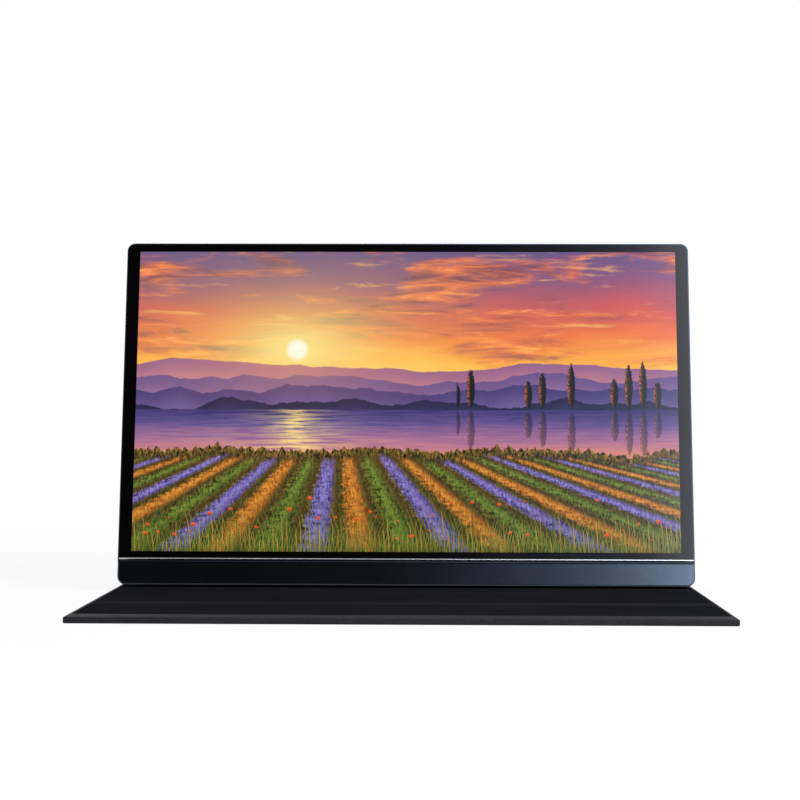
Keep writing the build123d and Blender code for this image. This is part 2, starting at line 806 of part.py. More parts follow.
# Flat leads from the loudspeakers, over the rib and up to the main board
lead_top_y = speaker_foot + speaker_height
lead_bus_y = (tcon_top + rib_places[0]) / 2
lead_depth = board_back - lead_thickness
left_lead_x = speaker_x - lead_width
long_lead_x = main_board_left + 2 * ribbon_width
with BuildPart() as speaker_leads:
    with BuildSketch(screen_plane(lead_depth)):
        with BuildLine():
            FilletPolyline(
                (-left_lead_x, lead_top_y),
                (-left_lead_x, lead_bus_y),
                (long_lead_x, lead_bus_y),
                (long_lead_x, main_board_foot),
                radius=lead_width,
            )
        trace(line_width=lead_width)
        with Locations((speaker_x, (lead_top_y + main_board_foot) / 2)):
            Rectangle(lead_width, main_board_foot - lead_top_y)
    extrude(amount=-lead_thickness)

# Magnets inside the back and in the foot
with BuildPart() as rear_magnets:
    with BuildSketch(screen_plane(bay_back)):
        with Locations(*magnet_places):
            Rectangle(magnet_length, magnet_width)
    extrude(amount=magnet_thickness)

with BuildPart() as foot_magnets:
    with BuildSketch(screen_plane(bay_back)):
        with Locations((0, side_wall + foot_magnet_height / 2)):
            with GridLocations(2 * foot_magnet_offset, 0, 2, 1):
                Rectangle(foot_magnet_length, foot_magnet_height)
    extrude(amount=foot_magnet_depth)

# Screws through the boards, and countersunk screws through the back. Threads are
# left out: the shanks and the bores that they grip have six sides.
with BuildPart() as board_screws:
    with BuildSketch(screen_plane(board_front)):
        with Locations(*board_holes):
            RegularPolygon(screw_head_radius, hexagon)
    extrude(amount=screw_head_height)
    with BuildSketch(screen_plane(board_front)):
        with Locations(*board_holes):
            RegularPolygon(screw_radius - fit_gap / 2, hexagon)
    extrude(amount=-(bay_back - board_front))

head_height = cover_screw_head - cover_screw_radius
with BuildPart() as cover_screws:
    with BuildSketch(screen_plane(body_thickness)):
        with Locations(*cover_screw_places):
            Circle(cover_screw_head - fit_gap / 2)
    extrude(amount=head_height, taper=45)
    with BuildSketch(screen_plane(body_thickness)):
        with Locations(*cover_screw_places):
            RegularPolygon(cover_screw_radius, hexagon)
    extrude(amount=body_thickness - chin_inside_front - screw_grip - fit_gap)

# The four stiff panels of the folio
Panel = namedtuple("Panel", "plane low high free_low free_high")
level_plane = panel_plane(lid_line, 0)
lid = Panel(level_plane, -lid_length, -spine_setback, True, False)
spine = Panel(level_plane, spine_setback, spine_length - spine_setback, False, False)
lower_back_plane = panel_plane(rear_line, prop_angle)
lower_back = Panel(lower_back_plane, spine_setback, prop_length - fold_setback, False, False)
upper_back_plane = panel_plane(fold_line, 90 - lean_angle)
upper_back = Panel(upper_back_plane, fold_setback, rest_length, False, True)


def panel_sheet(panel, side_inset=0.0, end_inset=0.0):
    """One sheet of a panel, drawn in from its sides and from its free end."""
    low = panel.low + end_inset * panel.free_low
    high = panel.high - end_inset * panel.free_high
    with BuildSketch() as sheet:
        with Locations((0, (low + high) / 2)):
            Rectangle(folio_width - 2 * side_inset, high - low)
        ends = sheet.vertices().group_by(Axis.Y)
        free_ends = [ends[0]] * panel.free_low + [ends[-1]] * panel.free_high
        for corners in free_ends:
            if end_inset < folio_corner:
                fillet(corners, folio_corner - end_inset)
    return sheet.sketch


def outer_skin(panel):
    """Leather on the outside of a panel, turned over its free edges as a hem."""
    whole = panel_sheet(panel)
    pocket = panel_sheet(panel, skin_thickness, skin_thickness)
    window = panel_sheet(panel, side_hem, front_hem)
    with BuildPart() as skin:
        with BuildSketch(panel.plane.offset(skin_level)):
            add(whole)
        extrude(amount=folio_thickness)
        chamfer(skin.edges().filter_by(panel.plane), folio_edge_chamfer)
        with BuildSketch(panel.plane.offset(stiffener_level)):
            add(pocket)
        extrude(amount=stiffener_thickness, mode=Mode.SUBTRACT)
        with BuildSketch(panel.plane.offset(lining_level)):
            add(window)
        extrude(amount=lining_thickness, mode=Mode.SUBTRACT)
    return skin


def stiffener(panel):
    """The board inside a panel."""
    outline = panel_sheet(panel, skin_thickness + hem_seam, skin_thickness + hem_seam)
    with BuildPart() as board:
        with BuildSketch(panel.plane.offset(stiffener_level)):
            add(outline)
        extrude(amount=stiffener_thickness)
    return board


def lining(panel):
    """The soft lining on the inside of a panel, up to its hem."""
    outline = panel_sheet(panel, side_hem + hem_seam, front_hem + hem_seam)
    with BuildPart() as sheet:
        with BuildSketch(panel.plane.offset(lining_level)):
            add(outline)
        extrude(amount=lining_thickness)
    return sheet


lid_outer_skin = outer_skin(lid)
spine_outer_skin = outer_skin(spine)
spine_stiffener = stiffener(spine)
spine_lining = lining(spine)
lower_back_outer_skin = outer_skin(lower_back)
lower_back_stiffener = stiffener(lower_back)
lower_back_lining = lining(lower_back)
upper_back_outer_skin = outer_skin(upper_back)
upper_back_lining = lining(upper_back)

# Lid lining, with the crease pressed across it
lid_sheet = panel_sheet(lid, side_hem + hem_seam, front_hem + hem_seam)
with BuildPart() as lid_lining:
    with BuildSketch(lid.plane.offset(lining_level)):
        add(lid_sheet)
    extrude(amount=lining_thickness)
    with BuildSketch(lid.plane.offset(lining_level + lining_thickness)):
        with Locations((0, lid.low + crease_from_front)):
            Rectangle(folio_width, crease_width)
    extrude(amount=-crease_depth, mode=Mode.SUBTRACT)

# Lid board, with pockets for the closing magnets and the steel foot plates
foot_plate_y = body_thickness * cos(lean) / 2 - lid_line.Y
lid_magnet_y = lid.low + front_hem - lid_magnet_depth / 2
lid_board = panel_sheet(lid, skin_thickness + hem_seam, skin_thickness + hem_seam)
plate_level = lining_level - plate_thickness
with BuildPart() as lid_stiffener:
    with BuildSketch(lid.plane.offset(stiffener_level)):
        add(lid_board)
        with Locations((0, lid_magnet_y)):
            with GridLocations(2 * lid_magnet_offset, 0, 2, 1):
                Rectangle(
                    lid_magnet_length + 2 * fit_gap,
                    lid_magnet_depth + 2 * fit_gap,
                    mode=Mode.SUBTRACT,
                )
    extrude(amount=stiffener_thickness)
    with BuildSketch(lid.plane.offset(plate_level)):
        with Locations((0, foot_plate_y)):
            with GridLocations(2 * foot_magnet_offset, 0, 2, 1):
                Rectangle(foot_magnet_length + 2 * fit_gap, plate_depth + 2 * fit_gap)
    extrude(amount=plate_thickness, mode=Mode.SUBTRACT)

with BuildPart() as lid_magnets:
    with BuildSketch(lid.plane.offset(stiffener_level)):
        with Locations((0, lid_magnet_y)):
            with GridLocations(2 * lid_magnet_offset, 0, 2, 1):
                Rectangle(lid_magnet_length, lid_magnet_depth)
    extrude(amount=stiffener_thickness)

with BuildPart() as foot_plates:
    with BuildSketch(lid.plane.offset(plate_level)):
        with Locations((0, foot_plate_y)):
            with GridLocations(2 * foot_magnet_offset, 0, 2, 1):
                Rectangle(foot_magnet_length, plate_depth)
    extrude(amount=plate_thickness)

# Upper back board, with a pocket for each holding magnet
case_magnet_places = [(x, y - fold_height) for x, y in magnet_places]
upper_board = panel_sheet(upper_back, skin_thickness + hem_seam, skin_thickness + hem_seam)
with BuildPart() as upper_back_stiffener:
    with BuildSketch(upper_back.plane.offset(stiffener_level)):
        add(upper_board)
        with Locations(*case_magnet_places):
            Rectangle(magnet_length + 2 * fit_gap, magnet_width + 2 * fit_gap, mode=Mode.SUBTRACT)
    extrude(amount=stiffener_thickness)

with BuildPart() as case_magnets:
    with BuildSketch(upper_back.plane.offset(stiffener_level)):
        with Locations(*case_magnet_places):
            Rectangle(magnet_length, magnet_width)
    extrude(amount=stiffener_thickness)


def along(line, angle, distance):
    """The point that lies `distance` from a fold line, seen from the side, as (y, z)."""
    turn = radians(angle)
    return (line.Y + distance * cos(turn), line.Z + distance * sin(turn))


def bent_strip(line, near_angle, far_angle, setback):
    """Skin and lining pressed together where two panels meet, bent in one arc."""
    start = along(line, near_angle, setback)
    end = along(line, far_angle, setback)
    inwards = Vector(line.Y - start[0], line.Z - start[1])
    with BuildPart() as strip:
        with BuildSketch(Plane.YZ):
            with BuildLine():
                TangentArc(start, end, tangent=inwards)
            trace(line_width=strip_thickness)
        extrude(amount=folio_width / 2 - side_hem / 2, both=True)
    return strip


with BuildPart() as lid_hinge_strip:
    with BuildSketch(lid.plane.offset(-strip_thickness / 2)):
        Rectangle(folio_width - side_hem, 2 * spine_setback)
    extrude(amount=strip_thickness)

spine_hinge_strip = bent_strip(rear_line, 180, prop_angle, spine_setback)
stand_fold_strip = bent_strip(fold_line, prop_angle - 180, 90 - lean_angle, fold_setback)

pieces = {
    "lid_outer_skin": lid_outer_skin,
    "lid_stiffener": lid_stiffener,
    "lid_lining": lid_lining,
    "lid_magnets": lid_magnets,
    "foot_plates": foot_plates,
    "lid_hinge_strip": lid_hinge_strip,
    "spine_outer_skin": spine_outer_skin,
    "spine_stiffener": spine_stiffener,
    "spine_lining": spine_lining,
    "spine_hinge_strip": spine_hinge_strip,
    "lower_back_outer_skin": lower_back_outer_skin,
    "lower_back_stiffener": lower_back_stiffener,
    "lower_back_lining": lower_back_lining,
    "stand_fold_strip": stand_fold_strip,
    "upper_back_outer_skin": upper_back_outer_skin,
    "upper_back_stiffener": upper_back_stiffener,
    "upper_back_lining": upper_back_lining,
    "case_magnets": case_magnets,
    "rear_cover": rear_cover,
    "chin_bar": chin_bar,
    "trim_strip": trim_strip,
    "cover_glass": cover_glass,
    "glass_tape": glass_tape,
    "mid_frame": mid_frame,
    "lcd_cell": lcd_cell,
    "diffuser_films": diffuser_films,
    "light_guide": light_guide,
    "reflector": reflector,
    "led_bar": led_bar,
    "panel_tray": panel_tray,
    "tcon_board": tcon_board,
    "panel_flex": panel_flex,
    "main_board": main_board,
    "board_chips": board_chips,
    "signal_ribbon": signal_ribbon,
    "key_ribbon": key_ribbon,
    "data_port_lower": data_port_lower,
    "data_port_upper": data_port_upper,
    "mini_video_port": mini_video_port,
    "audio_jack": audio_jack,
    "key_board": key_board,
    "key_switches": key_switches,
    "rocker_pin": rocker_pin,
    "speaker_left": speaker_left,
    "speaker_right": speaker_right,
    "speaker_leads": speaker_leads,
    "rear_magnets": rear_magnets,
    "foot_magnets": foot_magnets,
    "board_screws": board_screws,
    "cover_screws": cover_screws,
    "power_button": power_button,
    "menu_rocker": menu_rocker,
}

os.makedirs("parts", exist_ok=True)
for name, piece in pieces.items():
    piece.part.label = name
    export_step(piece.part, f"parts/{name}.step")

# Facts that the joints and mounts are placed by, in millimetres and degrees
jack_mouth = foot_edge + up * jack_foot - towards_viewer * jack_depth
pivot_place = foot_edge + up * rocker_foot - towards_viewer * bay_middle
print("monitor", body_width, body_height, round(body_thickness, 4))
print("lid line", lid_line.Y, lid_line.Z)
print("rear line", rear_line.Y, rear_line.Z)
print("fold line", fold_line.Y, fold_line.Z)
print("prop angle", prop_angle, "flush turn", prop_angle - 90 + lean_angle)
print("jack mouth", -body_width / 2, jack_mouth.Y, jack_mouth.Z)
print("rocker pivot", -pivot_x, pivot_place.Y, pivot_place.Z)
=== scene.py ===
# %% [markdown]
# # A portable monitor on its folding cover
#
# The real object is a thin metal monitor that stands on a leather-covered folio: the lid lies flat
# on the desk in front, and the back folds into a prop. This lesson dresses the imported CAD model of
# that object. Pieces are built on points that the frame reports, and each one rides on the body that
# carries it. Small details, such as the hems, the crease and the screw slots, have sizes of their
# own here, and the tones that show, and the light, come from comparing renders with the photograph.

import json
from itertools import zip_longest
from math import cos, pi, radians, sin, sqrt

import bmesh
import bpy
from mathutils import Matrix, Vector, noise


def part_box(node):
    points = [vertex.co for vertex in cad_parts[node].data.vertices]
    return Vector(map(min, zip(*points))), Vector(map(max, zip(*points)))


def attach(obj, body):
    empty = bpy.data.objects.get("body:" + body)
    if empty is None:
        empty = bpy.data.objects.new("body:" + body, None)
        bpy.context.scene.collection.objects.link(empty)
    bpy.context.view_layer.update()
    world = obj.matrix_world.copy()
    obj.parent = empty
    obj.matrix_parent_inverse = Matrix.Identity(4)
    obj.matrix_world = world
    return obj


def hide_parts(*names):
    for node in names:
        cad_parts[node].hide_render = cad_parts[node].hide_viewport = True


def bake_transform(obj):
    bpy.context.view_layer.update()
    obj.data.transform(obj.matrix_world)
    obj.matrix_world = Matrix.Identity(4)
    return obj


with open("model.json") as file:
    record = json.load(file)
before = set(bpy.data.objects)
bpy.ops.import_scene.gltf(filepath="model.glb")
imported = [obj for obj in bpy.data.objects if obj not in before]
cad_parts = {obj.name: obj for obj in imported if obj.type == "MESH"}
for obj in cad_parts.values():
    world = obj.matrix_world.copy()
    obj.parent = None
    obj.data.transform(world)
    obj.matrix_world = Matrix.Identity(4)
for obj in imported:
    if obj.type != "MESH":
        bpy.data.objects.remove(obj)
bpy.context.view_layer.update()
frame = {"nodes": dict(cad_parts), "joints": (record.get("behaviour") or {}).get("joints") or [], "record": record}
scene = bpy.context.scene
mm = 0.001
micron = 0.001 * mm

# %% [markdown]
# ## Directions and places
#
# The lid and the spine lie level. The screen leans back, with the upper back flat behind it, and the
# lower back props it up at an angle of its own. All of this can be read from the joints: the monitor
# slides off square to its screen, and the folds turn about the lines where two panels meet. `up` runs
# up the screen, and `upright` is plumb. `reach` then measures any CAD node along any direction, so
# that the pieces made below follow the model when a size there changes. Heights on the screen are
# measured from `foot_edge`, where the plumb line through the origin meets the plane of the glass.

# %% Read the directions from the joints
joints = {joint["name"]: joint for joint in frame["joints"]}
frame_origin = Vector((0, 0, 0))
across = Vector((1, 0, 0))
backwards = Vector((0, 1, 0))
upright = Vector((0, 0, 1))
towards_viewer = Vector(joints["monitor_lift"]["axis"])
up = towards_viewer.cross(across)
lid_line = Vector(joints["lid_fold"]["pos_m"])
rear_line = Vector(joints["back_fold"]["pos_m"])
fold_line = Vector(joints["stand_fold"]["pos_m"])
lower_back_along = (fold_line - rear_line).normalized()


def reach(node, origin, direction):
    """The nearest and farthest that a CAD node comes along a direction, from an origin."""
    vertices = frame["nodes"][node].data.vertices
    places = [(vertex.co - origin).dot(direction) for vertex in vertices]
    return min(places), max(places)


def middle(node, origin, direction):
    """The middle of a CAD node along a direction."""
    low, high = reach(node, origin, direction)
    return (low + high) / 2


def seat(node, sideways, depth):
    """A place at a node's middle height up the screen, from its other two distances."""
    return across * sideways + up * middle(node, frame_origin, up) + towards_viewer * depth


front_face = reach("cover_glass", frame_origin, towards_viewer)[1]
foot_edge = Vector((0, 0, front_face / towards_viewer.z))
print("foot edge height in mm", round(foot_edge.z / mm, 3))


def axes_at(origin, x_axis, y_axis):
    """The matrix that puts a mesh made in its own x, y and z onto two directions."""
    columns = Matrix((x_axis, y_axis, x_axis.cross(y_axis))).transposed()
    return Matrix.Translation(origin) @ columns.to_4x4()


screen_axes = axes_at(foot_edge, across, up)

# %% [markdown]
# ## Camera
#
# The picture was taken with a long lens from a little above the desk, nearly square to the screen.
# The place and the small turns below come from matching the monitor's and the lid's corners.

# %% Place the camera
camera_place = Vector((17.9, -1185.0, 113.1)) * mm
turn_left = radians(1.04)
tip_up = radians(0.376)
roll = radians(0.14)
camera_data = bpy.data.cameras.new("camera")
camera_data.lens = 85.45
camera_data.sensor_width = 36.0
camera = bpy.data.objects.new("camera", camera_data)
scene.collection.objects.link(camera)
forward = Vector((-sin(turn_left) * cos(tip_up), cos(turn_left) * cos(tip_up), sin(tip_up)))
level_right = Vector((cos(turn_left), sin(turn_left), 0))
level_up = level_right.cross(forward)
camera_right = level_right * cos(roll) + level_up * sin(roll)
camera.matrix_world = axes_at(camera_place, camera_right, camera_right.cross(forward))
scene.camera = camera
scene.view_settings.view_transform = "Standard"
print("camera", [round(value, 3) for value in camera_place])

# %% [markdown]
# ## Writing shader maths
#
# A material is a graph of nodes, but a formula is easier to read than a graph. `Wire` wraps the
# output of a node and turns sums on it into Math nodes, so `1 - mask` works as it looks. Every other
# node comes from `Nodes.node`, which sets the node's settings first and then its sockets. The same
# two classes write the world and the Geometry Nodes trees.


# %% Wrap a socket
class Wire:
    """One output of a node. Sums and products on it add Math nodes."""

    def __init__(self, maker, socket):
        self.maker = maker
        self.socket = socket

    def math(self, operation, first, second=0.0):
        return self.maker.node("ShaderNodeMath", {"operation": operation}, {0: first, 1: second})

    def __add__(self, other):
        return self.math("ADD", self, other)

    def __radd__(self, other):
        return self.math("ADD", other, self)

    def __sub__(self, other):
        return self.math("SUBTRACT", self, other)

    def __rsub__(self, other):
        return self.math("SUBTRACT", other, self)

    def __mul__(self, other):
        return self.math("MULTIPLY", self, other)

    def __rmul__(self, other):
        return self.math("MULTIPLY", other, self)

    def __truediv__(self, other):
        return self.math("DIVIDE", self, other)

    def __rtruediv__(self, other):
        return self.math("DIVIDE", other, self)

    def absolute(self):
        return self.math("ABSOLUTE", self)

    def whole(self):
        return self.math("FLOOR", self)

    def remainder(self, step):
        return self.math("FLOORED_MODULO", self, step)

    def squared(self):
        return self * self

    def least(self, other):
        return self.math("MINIMUM", self, other)

    def most(self, other):
        return self.math("MAXIMUM", self, other)

    def rise(self, low, high):
        """0 below `low`, 1 above `high` and a smooth step between them."""
        settings = {"interpolation_type": "SMOOTHSTEP"}
        values = {"Value": self, "From Min": low, "From Max": high}
        return self.maker.node("ShaderNodeMapRange", settings, values)


# %% Put nodes into a tree
class Nodes:
    """Puts nodes into a tree."""

    def __init__(self, tree):
        self.tree = tree

    def put(self, socket, value):
        if isinstance(value, Wire):
            self.tree.links.new(value.socket, socket)
        else:
            socket.default_value = value

    def node(self, kind, settings=None, values=None, out=0):
        made = self.tree.nodes.new(kind)
        for key, value in (settings or {}).items():
            if key == "stops":
                self.fill_ramp(made.color_ramp, value)
            else:
                setattr(made, key, value)
        for key, value in (values or {}).items():
            self.put(made.inputs[key], value)
        return Wire(self, made.outputs[out])

    def fill_ramp(self, ramp, stops):
        ramp.elements[0].position, ramp.elements[0].color = stops[0]
        ramp.elements[1].position, ramp.elements[1].color = stops[-1]
        for place, colour in stops[1:-1]:
            ramp.elements.new(place).color = colour

    def link_all(self, wires, target, socket):
        """Links several wires into one socket that takes many, and returns that node's output."""
        for wire in wires:
            self.tree.links.new(wire.socket, target.socket.node.inputs[socket])
        return target

    def ray(self, kind):
        """1 on rays of one kind, such as Is Camera Ray, and 0 on the others."""
        return self.node("ShaderNodeLightPath", out=kind)

    def join(self, x, y, z=0.0):
        return self.node("ShaderNodeCombineXYZ", None, {0: x, 1: y, 2: z})

    def split(self, vector):
        made = self.node("ShaderNodeSeparateXYZ", None, {0: vector}).socket.node
        return [Wire(self, output) for output in made.outputs]

    def along(self, vector, direction):
        """How far a vector reaches along a direction."""
        settings = {"operation": "DOT_PRODUCT"}
        return self.node("ShaderNodeVectorMath", settings, {0: vector, 1: direction}, out="Value")

    def noise(self, place, scale, detail=2.0, roughness=0.5, distortion=0.0):
        values = {"Vector": place, "Scale": scale, "Detail": detail}
        values.update({"Roughness": roughness, "Distortion": distortion})
        return self.node("ShaderNodeTexNoise", None, values)

    def noise_line(self, place, scale, detail=2.0):
        """Noise along one number, as for the outline of a hill."""
        values = {"W": place, "Scale": scale, "Detail": detail}
        return self.node("ShaderNodeTexNoise", {"noise_dimensions": "1D"}, values)

    def chance(self, number, seed):
        """A steady random number for each whole number."""
        return self.node("ShaderNodeTexWhiteNoise", {"noise_dimensions": "1D"}, {"W": number + seed})

    def mix(self, share, first, second):
        values = {0: share, 6: first, 7: second}
        return self.node("ShaderNodeMix", {"data_type": "RGBA"}, values, out=2)

    def ramp(self, share, stops):
        return self.node("ShaderNodeValToRGB", {"stops": stops}, {0: share})


def tone(red, green, blue):
    """A colour as a screen shows it, 0 to 255, as the light that a shader takes."""
    light = []
    for value in (red / 255, green / 255, blue / 255):
        light.append(value / 12.92 if value <= 0.04045 else ((value + 0.055) / 1.055) ** 2.4)
    return (*light, 1.0)


# %% [markdown]
# ## A base for every finish
#
# Each finish is a Principled shader whose colour, roughness and relief change a little over the
# surface, because no real material is one flat colour. All patterns read Object coordinates: the
# pieces sit at the origin in metres, so a noise scale of 1000 has features about a millimetre wide.


# %% Define the base of a finish
class Finish(Nodes):
    """A material with a Principled shader, whose constants go straight onto its sockets."""

    def __init__(self, name, **constants):
        self.material = bpy.data.materials.new(name)
        self.material.use_nodes = True
        super().__init__(self.material.node_tree)
        self.shader = self.tree.nodes["Principled BSDF"]
        self.place = self.node("ShaderNodeTexCoord", out="Object")
        for key, value in constants.items():
            self.paint(key.replace("_", " "), value)

    def paint(self, socket, value):
        self.put(self.shader.inputs[socket], value)

    def relief(self, height, strength, depth):
        """Bumps of a real depth in metres, for the shader's normal."""
        values = {"Strength": strength, "Distance": depth, "Height": height}
        self.paint("Normal", self.node("ShaderNodeBump", None, values))

    def stretched(self, x, y, z):
        """The place with its axes scaled, for a pattern that is longer one way."""
        return self.node("ShaderNodeMapping", None, {"Vector": self.place, "Scale": (x, y, z)})

    def on_screen(self):
        """Metres across the screen from its middle, and up it from its foot."""
        from_foot = self.node(
            "ShaderNodeVectorMath", {"operation": "SUBTRACT"}, {0: self.place, 1: foot_edge}
        )
        return self.along(from_foot, across), self.along(from_foot, up)


def speckled(name, dark, light, roughness, grain, depth, metal):
    """A plain moulded, rolled or plated surface: clouds of two close tones and a fine grain."""
    finish = Finish(name, Metallic=metal)
    clouds = finish.noise(finish.place, 90, 4, 0.6)
    fine = finish.noise(finish.place, grain, 3, 0.6)
    finish.paint("Base Color", finish.mix(clouds.rise(0.3, 0.7), tone(*dark), tone(*light)))
    finish.paint("Roughness", (fine - 0.5) * 0.16 + (clouds - 0.5) * 0.1 + roughness)
    finish.relief(fine, 0.5, depth)
    return finish.material


# %% [markdown]
# ## Leather and microfibre
#
# The folio's outside is a matte synthetic leather. Its grain is a net of fine creases round small
# pebbles, which a Voronoi texture's distance to its cell edges gives directly. The inside is a
# short-napped microfibre: almost black, dull, with faint marks where it has been brushed one way.
# Along the crease of the lid a paler band is painted on the nap, a painted highlight where the folded sheet
# catches the light.

# %% Name the place of the crease
crease_from_front = 79.0 * mm
crease_y = reach("lid_outer_skin", frame_origin, backwards)[0] + crease_from_front
# How far from the crease the painted highlight stays full, and where it has faded out.
crease_highlight_near = 2.0 * mm
crease_highlight_far = 13.0 * mm
print("crease at y in mm", round(crease_y / mm, 1))


# %% Make the leather
def make_leather():
    leather = Finish("outer_leather", Specular_IOR_Level=0.08)
    wander = leather.noise(leather.place, 260, 3, 0.6)
    grain = leather.node(
        "ShaderNodeTexVoronoi",
        {"feature": "DISTANCE_TO_EDGE"},
        {"Vector": leather.place, "Scale": 1250.0, "Randomness": 0.95},
    )
    pebbles = grain.rise(0.0, 0.22)
    pores = leather.noise(leather.place, 5200, 2, 0.6)
    worn = leather.noise(leather.place, 24, 5, 0.62)
    top = leather.mix(worn.rise(0.35, 0.7), tone(41, 42, 45), tone(48, 49, 52))
    leather.paint("Base Color", leather.mix(pebbles * 0.75 + 0.25, tone(21, 21, 23), top))
    leather.paint("Roughness", 0.76 - pebbles * 0.1 + (worn - 0.5) * 0.2)
    leather.relief(pebbles * 0.7 + pores * 0.2 + wander * 0.6, 0.55, 60 * micron)
    return leather.material


outer_leather = make_leather()
print("leather nodes", len(outer_leather.node_tree.nodes))


# %% Make the microfibre
def make_microfibre():
    nap = Finish("microfibre", Specular_IOR_Level=0.0)
    fibres = nap.noise(nap.stretched(1.0, 0.35, 1.0), 5200, 3, 0.7, 0.4)
    tufts = nap.noise(nap.place, 1300, 4, 0.6)
    brushed = nap.noise(nap.stretched(0.5, 1.6, 1.0), 16, 4, 0.6, 0.8)
    base = nap.mix(brushed.rise(0.3, 0.72), tone(32, 33, 37), tone(41, 42, 46))
    aside = (nap.along(nap.place, backwards) - crease_y).absolute()
    # Painted highlight: a paler band along the lid's crease, where the folded sheet catches the light.
    crease_highlight = 1 - aside.rise(crease_highlight_near, crease_highlight_far)
    base = nap.mix(crease_highlight * (0.25 + brushed * 0.4), base, tone(62, 63, 66))
    nap.paint("Base Color", nap.mix(fibres * 0.5 + tufts * 0.3, tone(19, 20, 22), base))
    nap.paint("Roughness", 0.86 + (tufts - 0.5) * 0.2)
    nap.relief(fibres * 0.5 + tufts * 0.6, 0.6, 120 * micron)
    return nap.material


microfibre = make_microfibre()
print("microfibre nodes", len(microfibre.node_tree.nodes))

# %% [markdown]
# ## Anodised aluminium and the polished trim
#
# The case and the chin bar are blasted with fine beads and then anodised a dark blue-grey. Such a
# surface is metal with a soft gloss, so most of what it shows is the studio: dark towards the left
# and bright towards the right. The beads leave a very fine speckle, which is only relief and
# roughness. The chin is buffed after blasting, so it is glossier than the case. Its groove is painted
# almost black as painted shade, and its foot edge pale grey as a painted highlight; one material
# paints both by their height on the screen. The trim strip is the same metal, left bright and
# polished along its length.

# %% Name the heights on the chin
trim_low, trim_high = reach("trim_strip", foot_edge, up)
groove_width = 1.95 * mm
groove_low = trim_low - groove_width
ridge_half = 0.2 * mm
# The height of the band along the foot edge that is painted as a highlight.
foot_highlight_height = 0.7 * mm
soft_line = 0.06 * mm
print("trim at heights in mm", round(trim_low / mm, 2), round(trim_high / mm, 2))


# %% Make the metals
def anodised(name, blasted):
    """Dyed aluminium, with its colour and its roughness, which is `blasted` on average."""
    metal = Finish(name, Metallic=1.0)
    beads = metal.noise(metal.place, 7000, 2, 0.7)
    patches = metal.noise(metal.place, 45, 4, 0.6)
    dye = metal.mix(patches.rise(0.3, 0.7), tone(78, 88, 99), tone(84, 94, 105))
    gloss = blasted + (beads - 0.5) * 0.06 + (patches - 0.5) * 0.02
    metal.relief(beads, 0.3, 10 * micron)
    return metal, dye, gloss


def make_anodised():
    case, dye, gloss = anodised("case_metal", 0.26)
    case.paint("Base Color", dye)
    case.paint("Roughness", gloss)
    return case.material


def make_chin_finish():
    chin, dye, gloss = anodised("chin_metal", 0.11)
    height = chin.on_screen()[1]
    groove = height.rise(groove_low - soft_line, groove_low + soft_line)
    ridge = 1 - (height - groove_low - groove_width / 2).absolute().rise(ridge_half, ridge_half * 2)
    # Painted highlight: a band along the foot edge is painted pale grey, less metallic and rougher, to show the
    # light that the edge catches.
    cut = 1 - height.rise(foot_highlight_height - soft_line, foot_highlight_height + soft_line)
    # Painted shade: the groove is painted almost black, a little less dark on its middle ridge, for the shade in
    # the recess.
    groove_shaded = chin.mix(groove * (1 - ridge * 0.5), dye, tone(14, 15, 18))
    chin.paint("Base Color", chin.mix(cut, groove_shaded, tone(112, 117, 124)))
    chin.paint("Metallic", 1 - cut * 0.8)
    chin.paint("Roughness", gloss + cut * 0.35 + groove * 0.2)
    return chin.material


def make_polished():
    trim = Finish("trim_metal", Metallic=1.0)
    lines = trim.noise(trim.stretched(0.02, 1.0, 1.0), 9000, 3, 0.6)
    clouds = trim.noise(trim.place, 60, 3, 0.6)
    trim.paint("Base Color", trim.mix(clouds, tone(222, 226, 231), tone(238, 241, 245)))
    trim.paint("Roughness", 0.2 + (lines - 0.5) * 0.06)
    trim.relief(lines, 0.1, 2 * micron)
    return trim.material


case_metal = make_anodised()
chin_metal = make_chin_finish()
trim_metal = make_polished()
print("metals made")

# %% [markdown]
# ## The picture on the display
#
# The display shows a landscape at sunset. It is painted from formulas only: a sky ramp with drifting
# clouds, hills whose outlines are one-dimensional noise, a lake with a glitter path, a row of poplars
# and a flower field whose rows run to a vanishing point. All heights are shares of the lit area's
# height, from 0 at its foot to 1 at its top, and `s` runs across it in the same unit.

# %% Name the sizes of the picture
active_width = 344.16 * mm
active_height = 193.59 * mm
active_bottom = 20.81 * mm
lit_edge = 0.08 * mm
sun_s = -0.36
sun_height = 0.668
far_shore = 0.468
vanishing_height = 0.50
vanishing_s = -0.22
rows_per_unit = 3.2
poplar_pitch = 0.047
print("the lit area runs in s to", round(active_width / active_height / 2, 3))


# %% Paint the sky and the sun
def paint_sky(art, s, height):
    """The evening sky: bands of colour, two sizes of cloud, the sun and its glow."""
    drift = art.noise(art.join(s * 1.25, height * 5.2), 1.7, 7, 0.6, 0.7)
    wisps = art.noise(art.join(s * 2.2 + 9, height * 17), 1.9, 7, 0.64, 0.5)
    level = (height - far_shore) / (1 - far_shore) + (drift - 0.5) * 0.34
    bands = [
        (0.10, tone(255, 222, 112)),
        (0.28, tone(253, 176, 62)),
        (0.44, tone(238, 112, 58)),
        (0.60, tone(204, 78, 82)),
        (0.76, tone(142, 72, 118)),
        (0.98, tone(88, 70, 132)),
    ]
    sky = art.ramp(level, bands)
    lit = art.mix(wisps.rise(0.35, 0.65), tone(120, 48, 84), tone(255, 128, 68))
    sky = art.mix(drift.rise(0.46, 0.62) * level.rise(0.16, 0.46) * 0.9, sky, lit)
    sky = art.mix(wisps.rise(0.56, 0.7) * 0.6, sky, tone(255, 186, 104))
    aside = s - sun_s
    above = height - sun_height
    glow = 1 / (((aside * 0.8).squared() + (above * 1.5).squared()) * 34 + 1)
    sky = art.mix(glow * 0.95, sky, tone(255, 232, 140))
    disc = aside.squared() + above.squared()
    veil = 1 - wisps.rise(0.5, 0.7) * 0.5
    return art.mix((1 - disc.rise(0.0002, 0.0019)) * veil, sky, tone(255, 253, 232)), glow


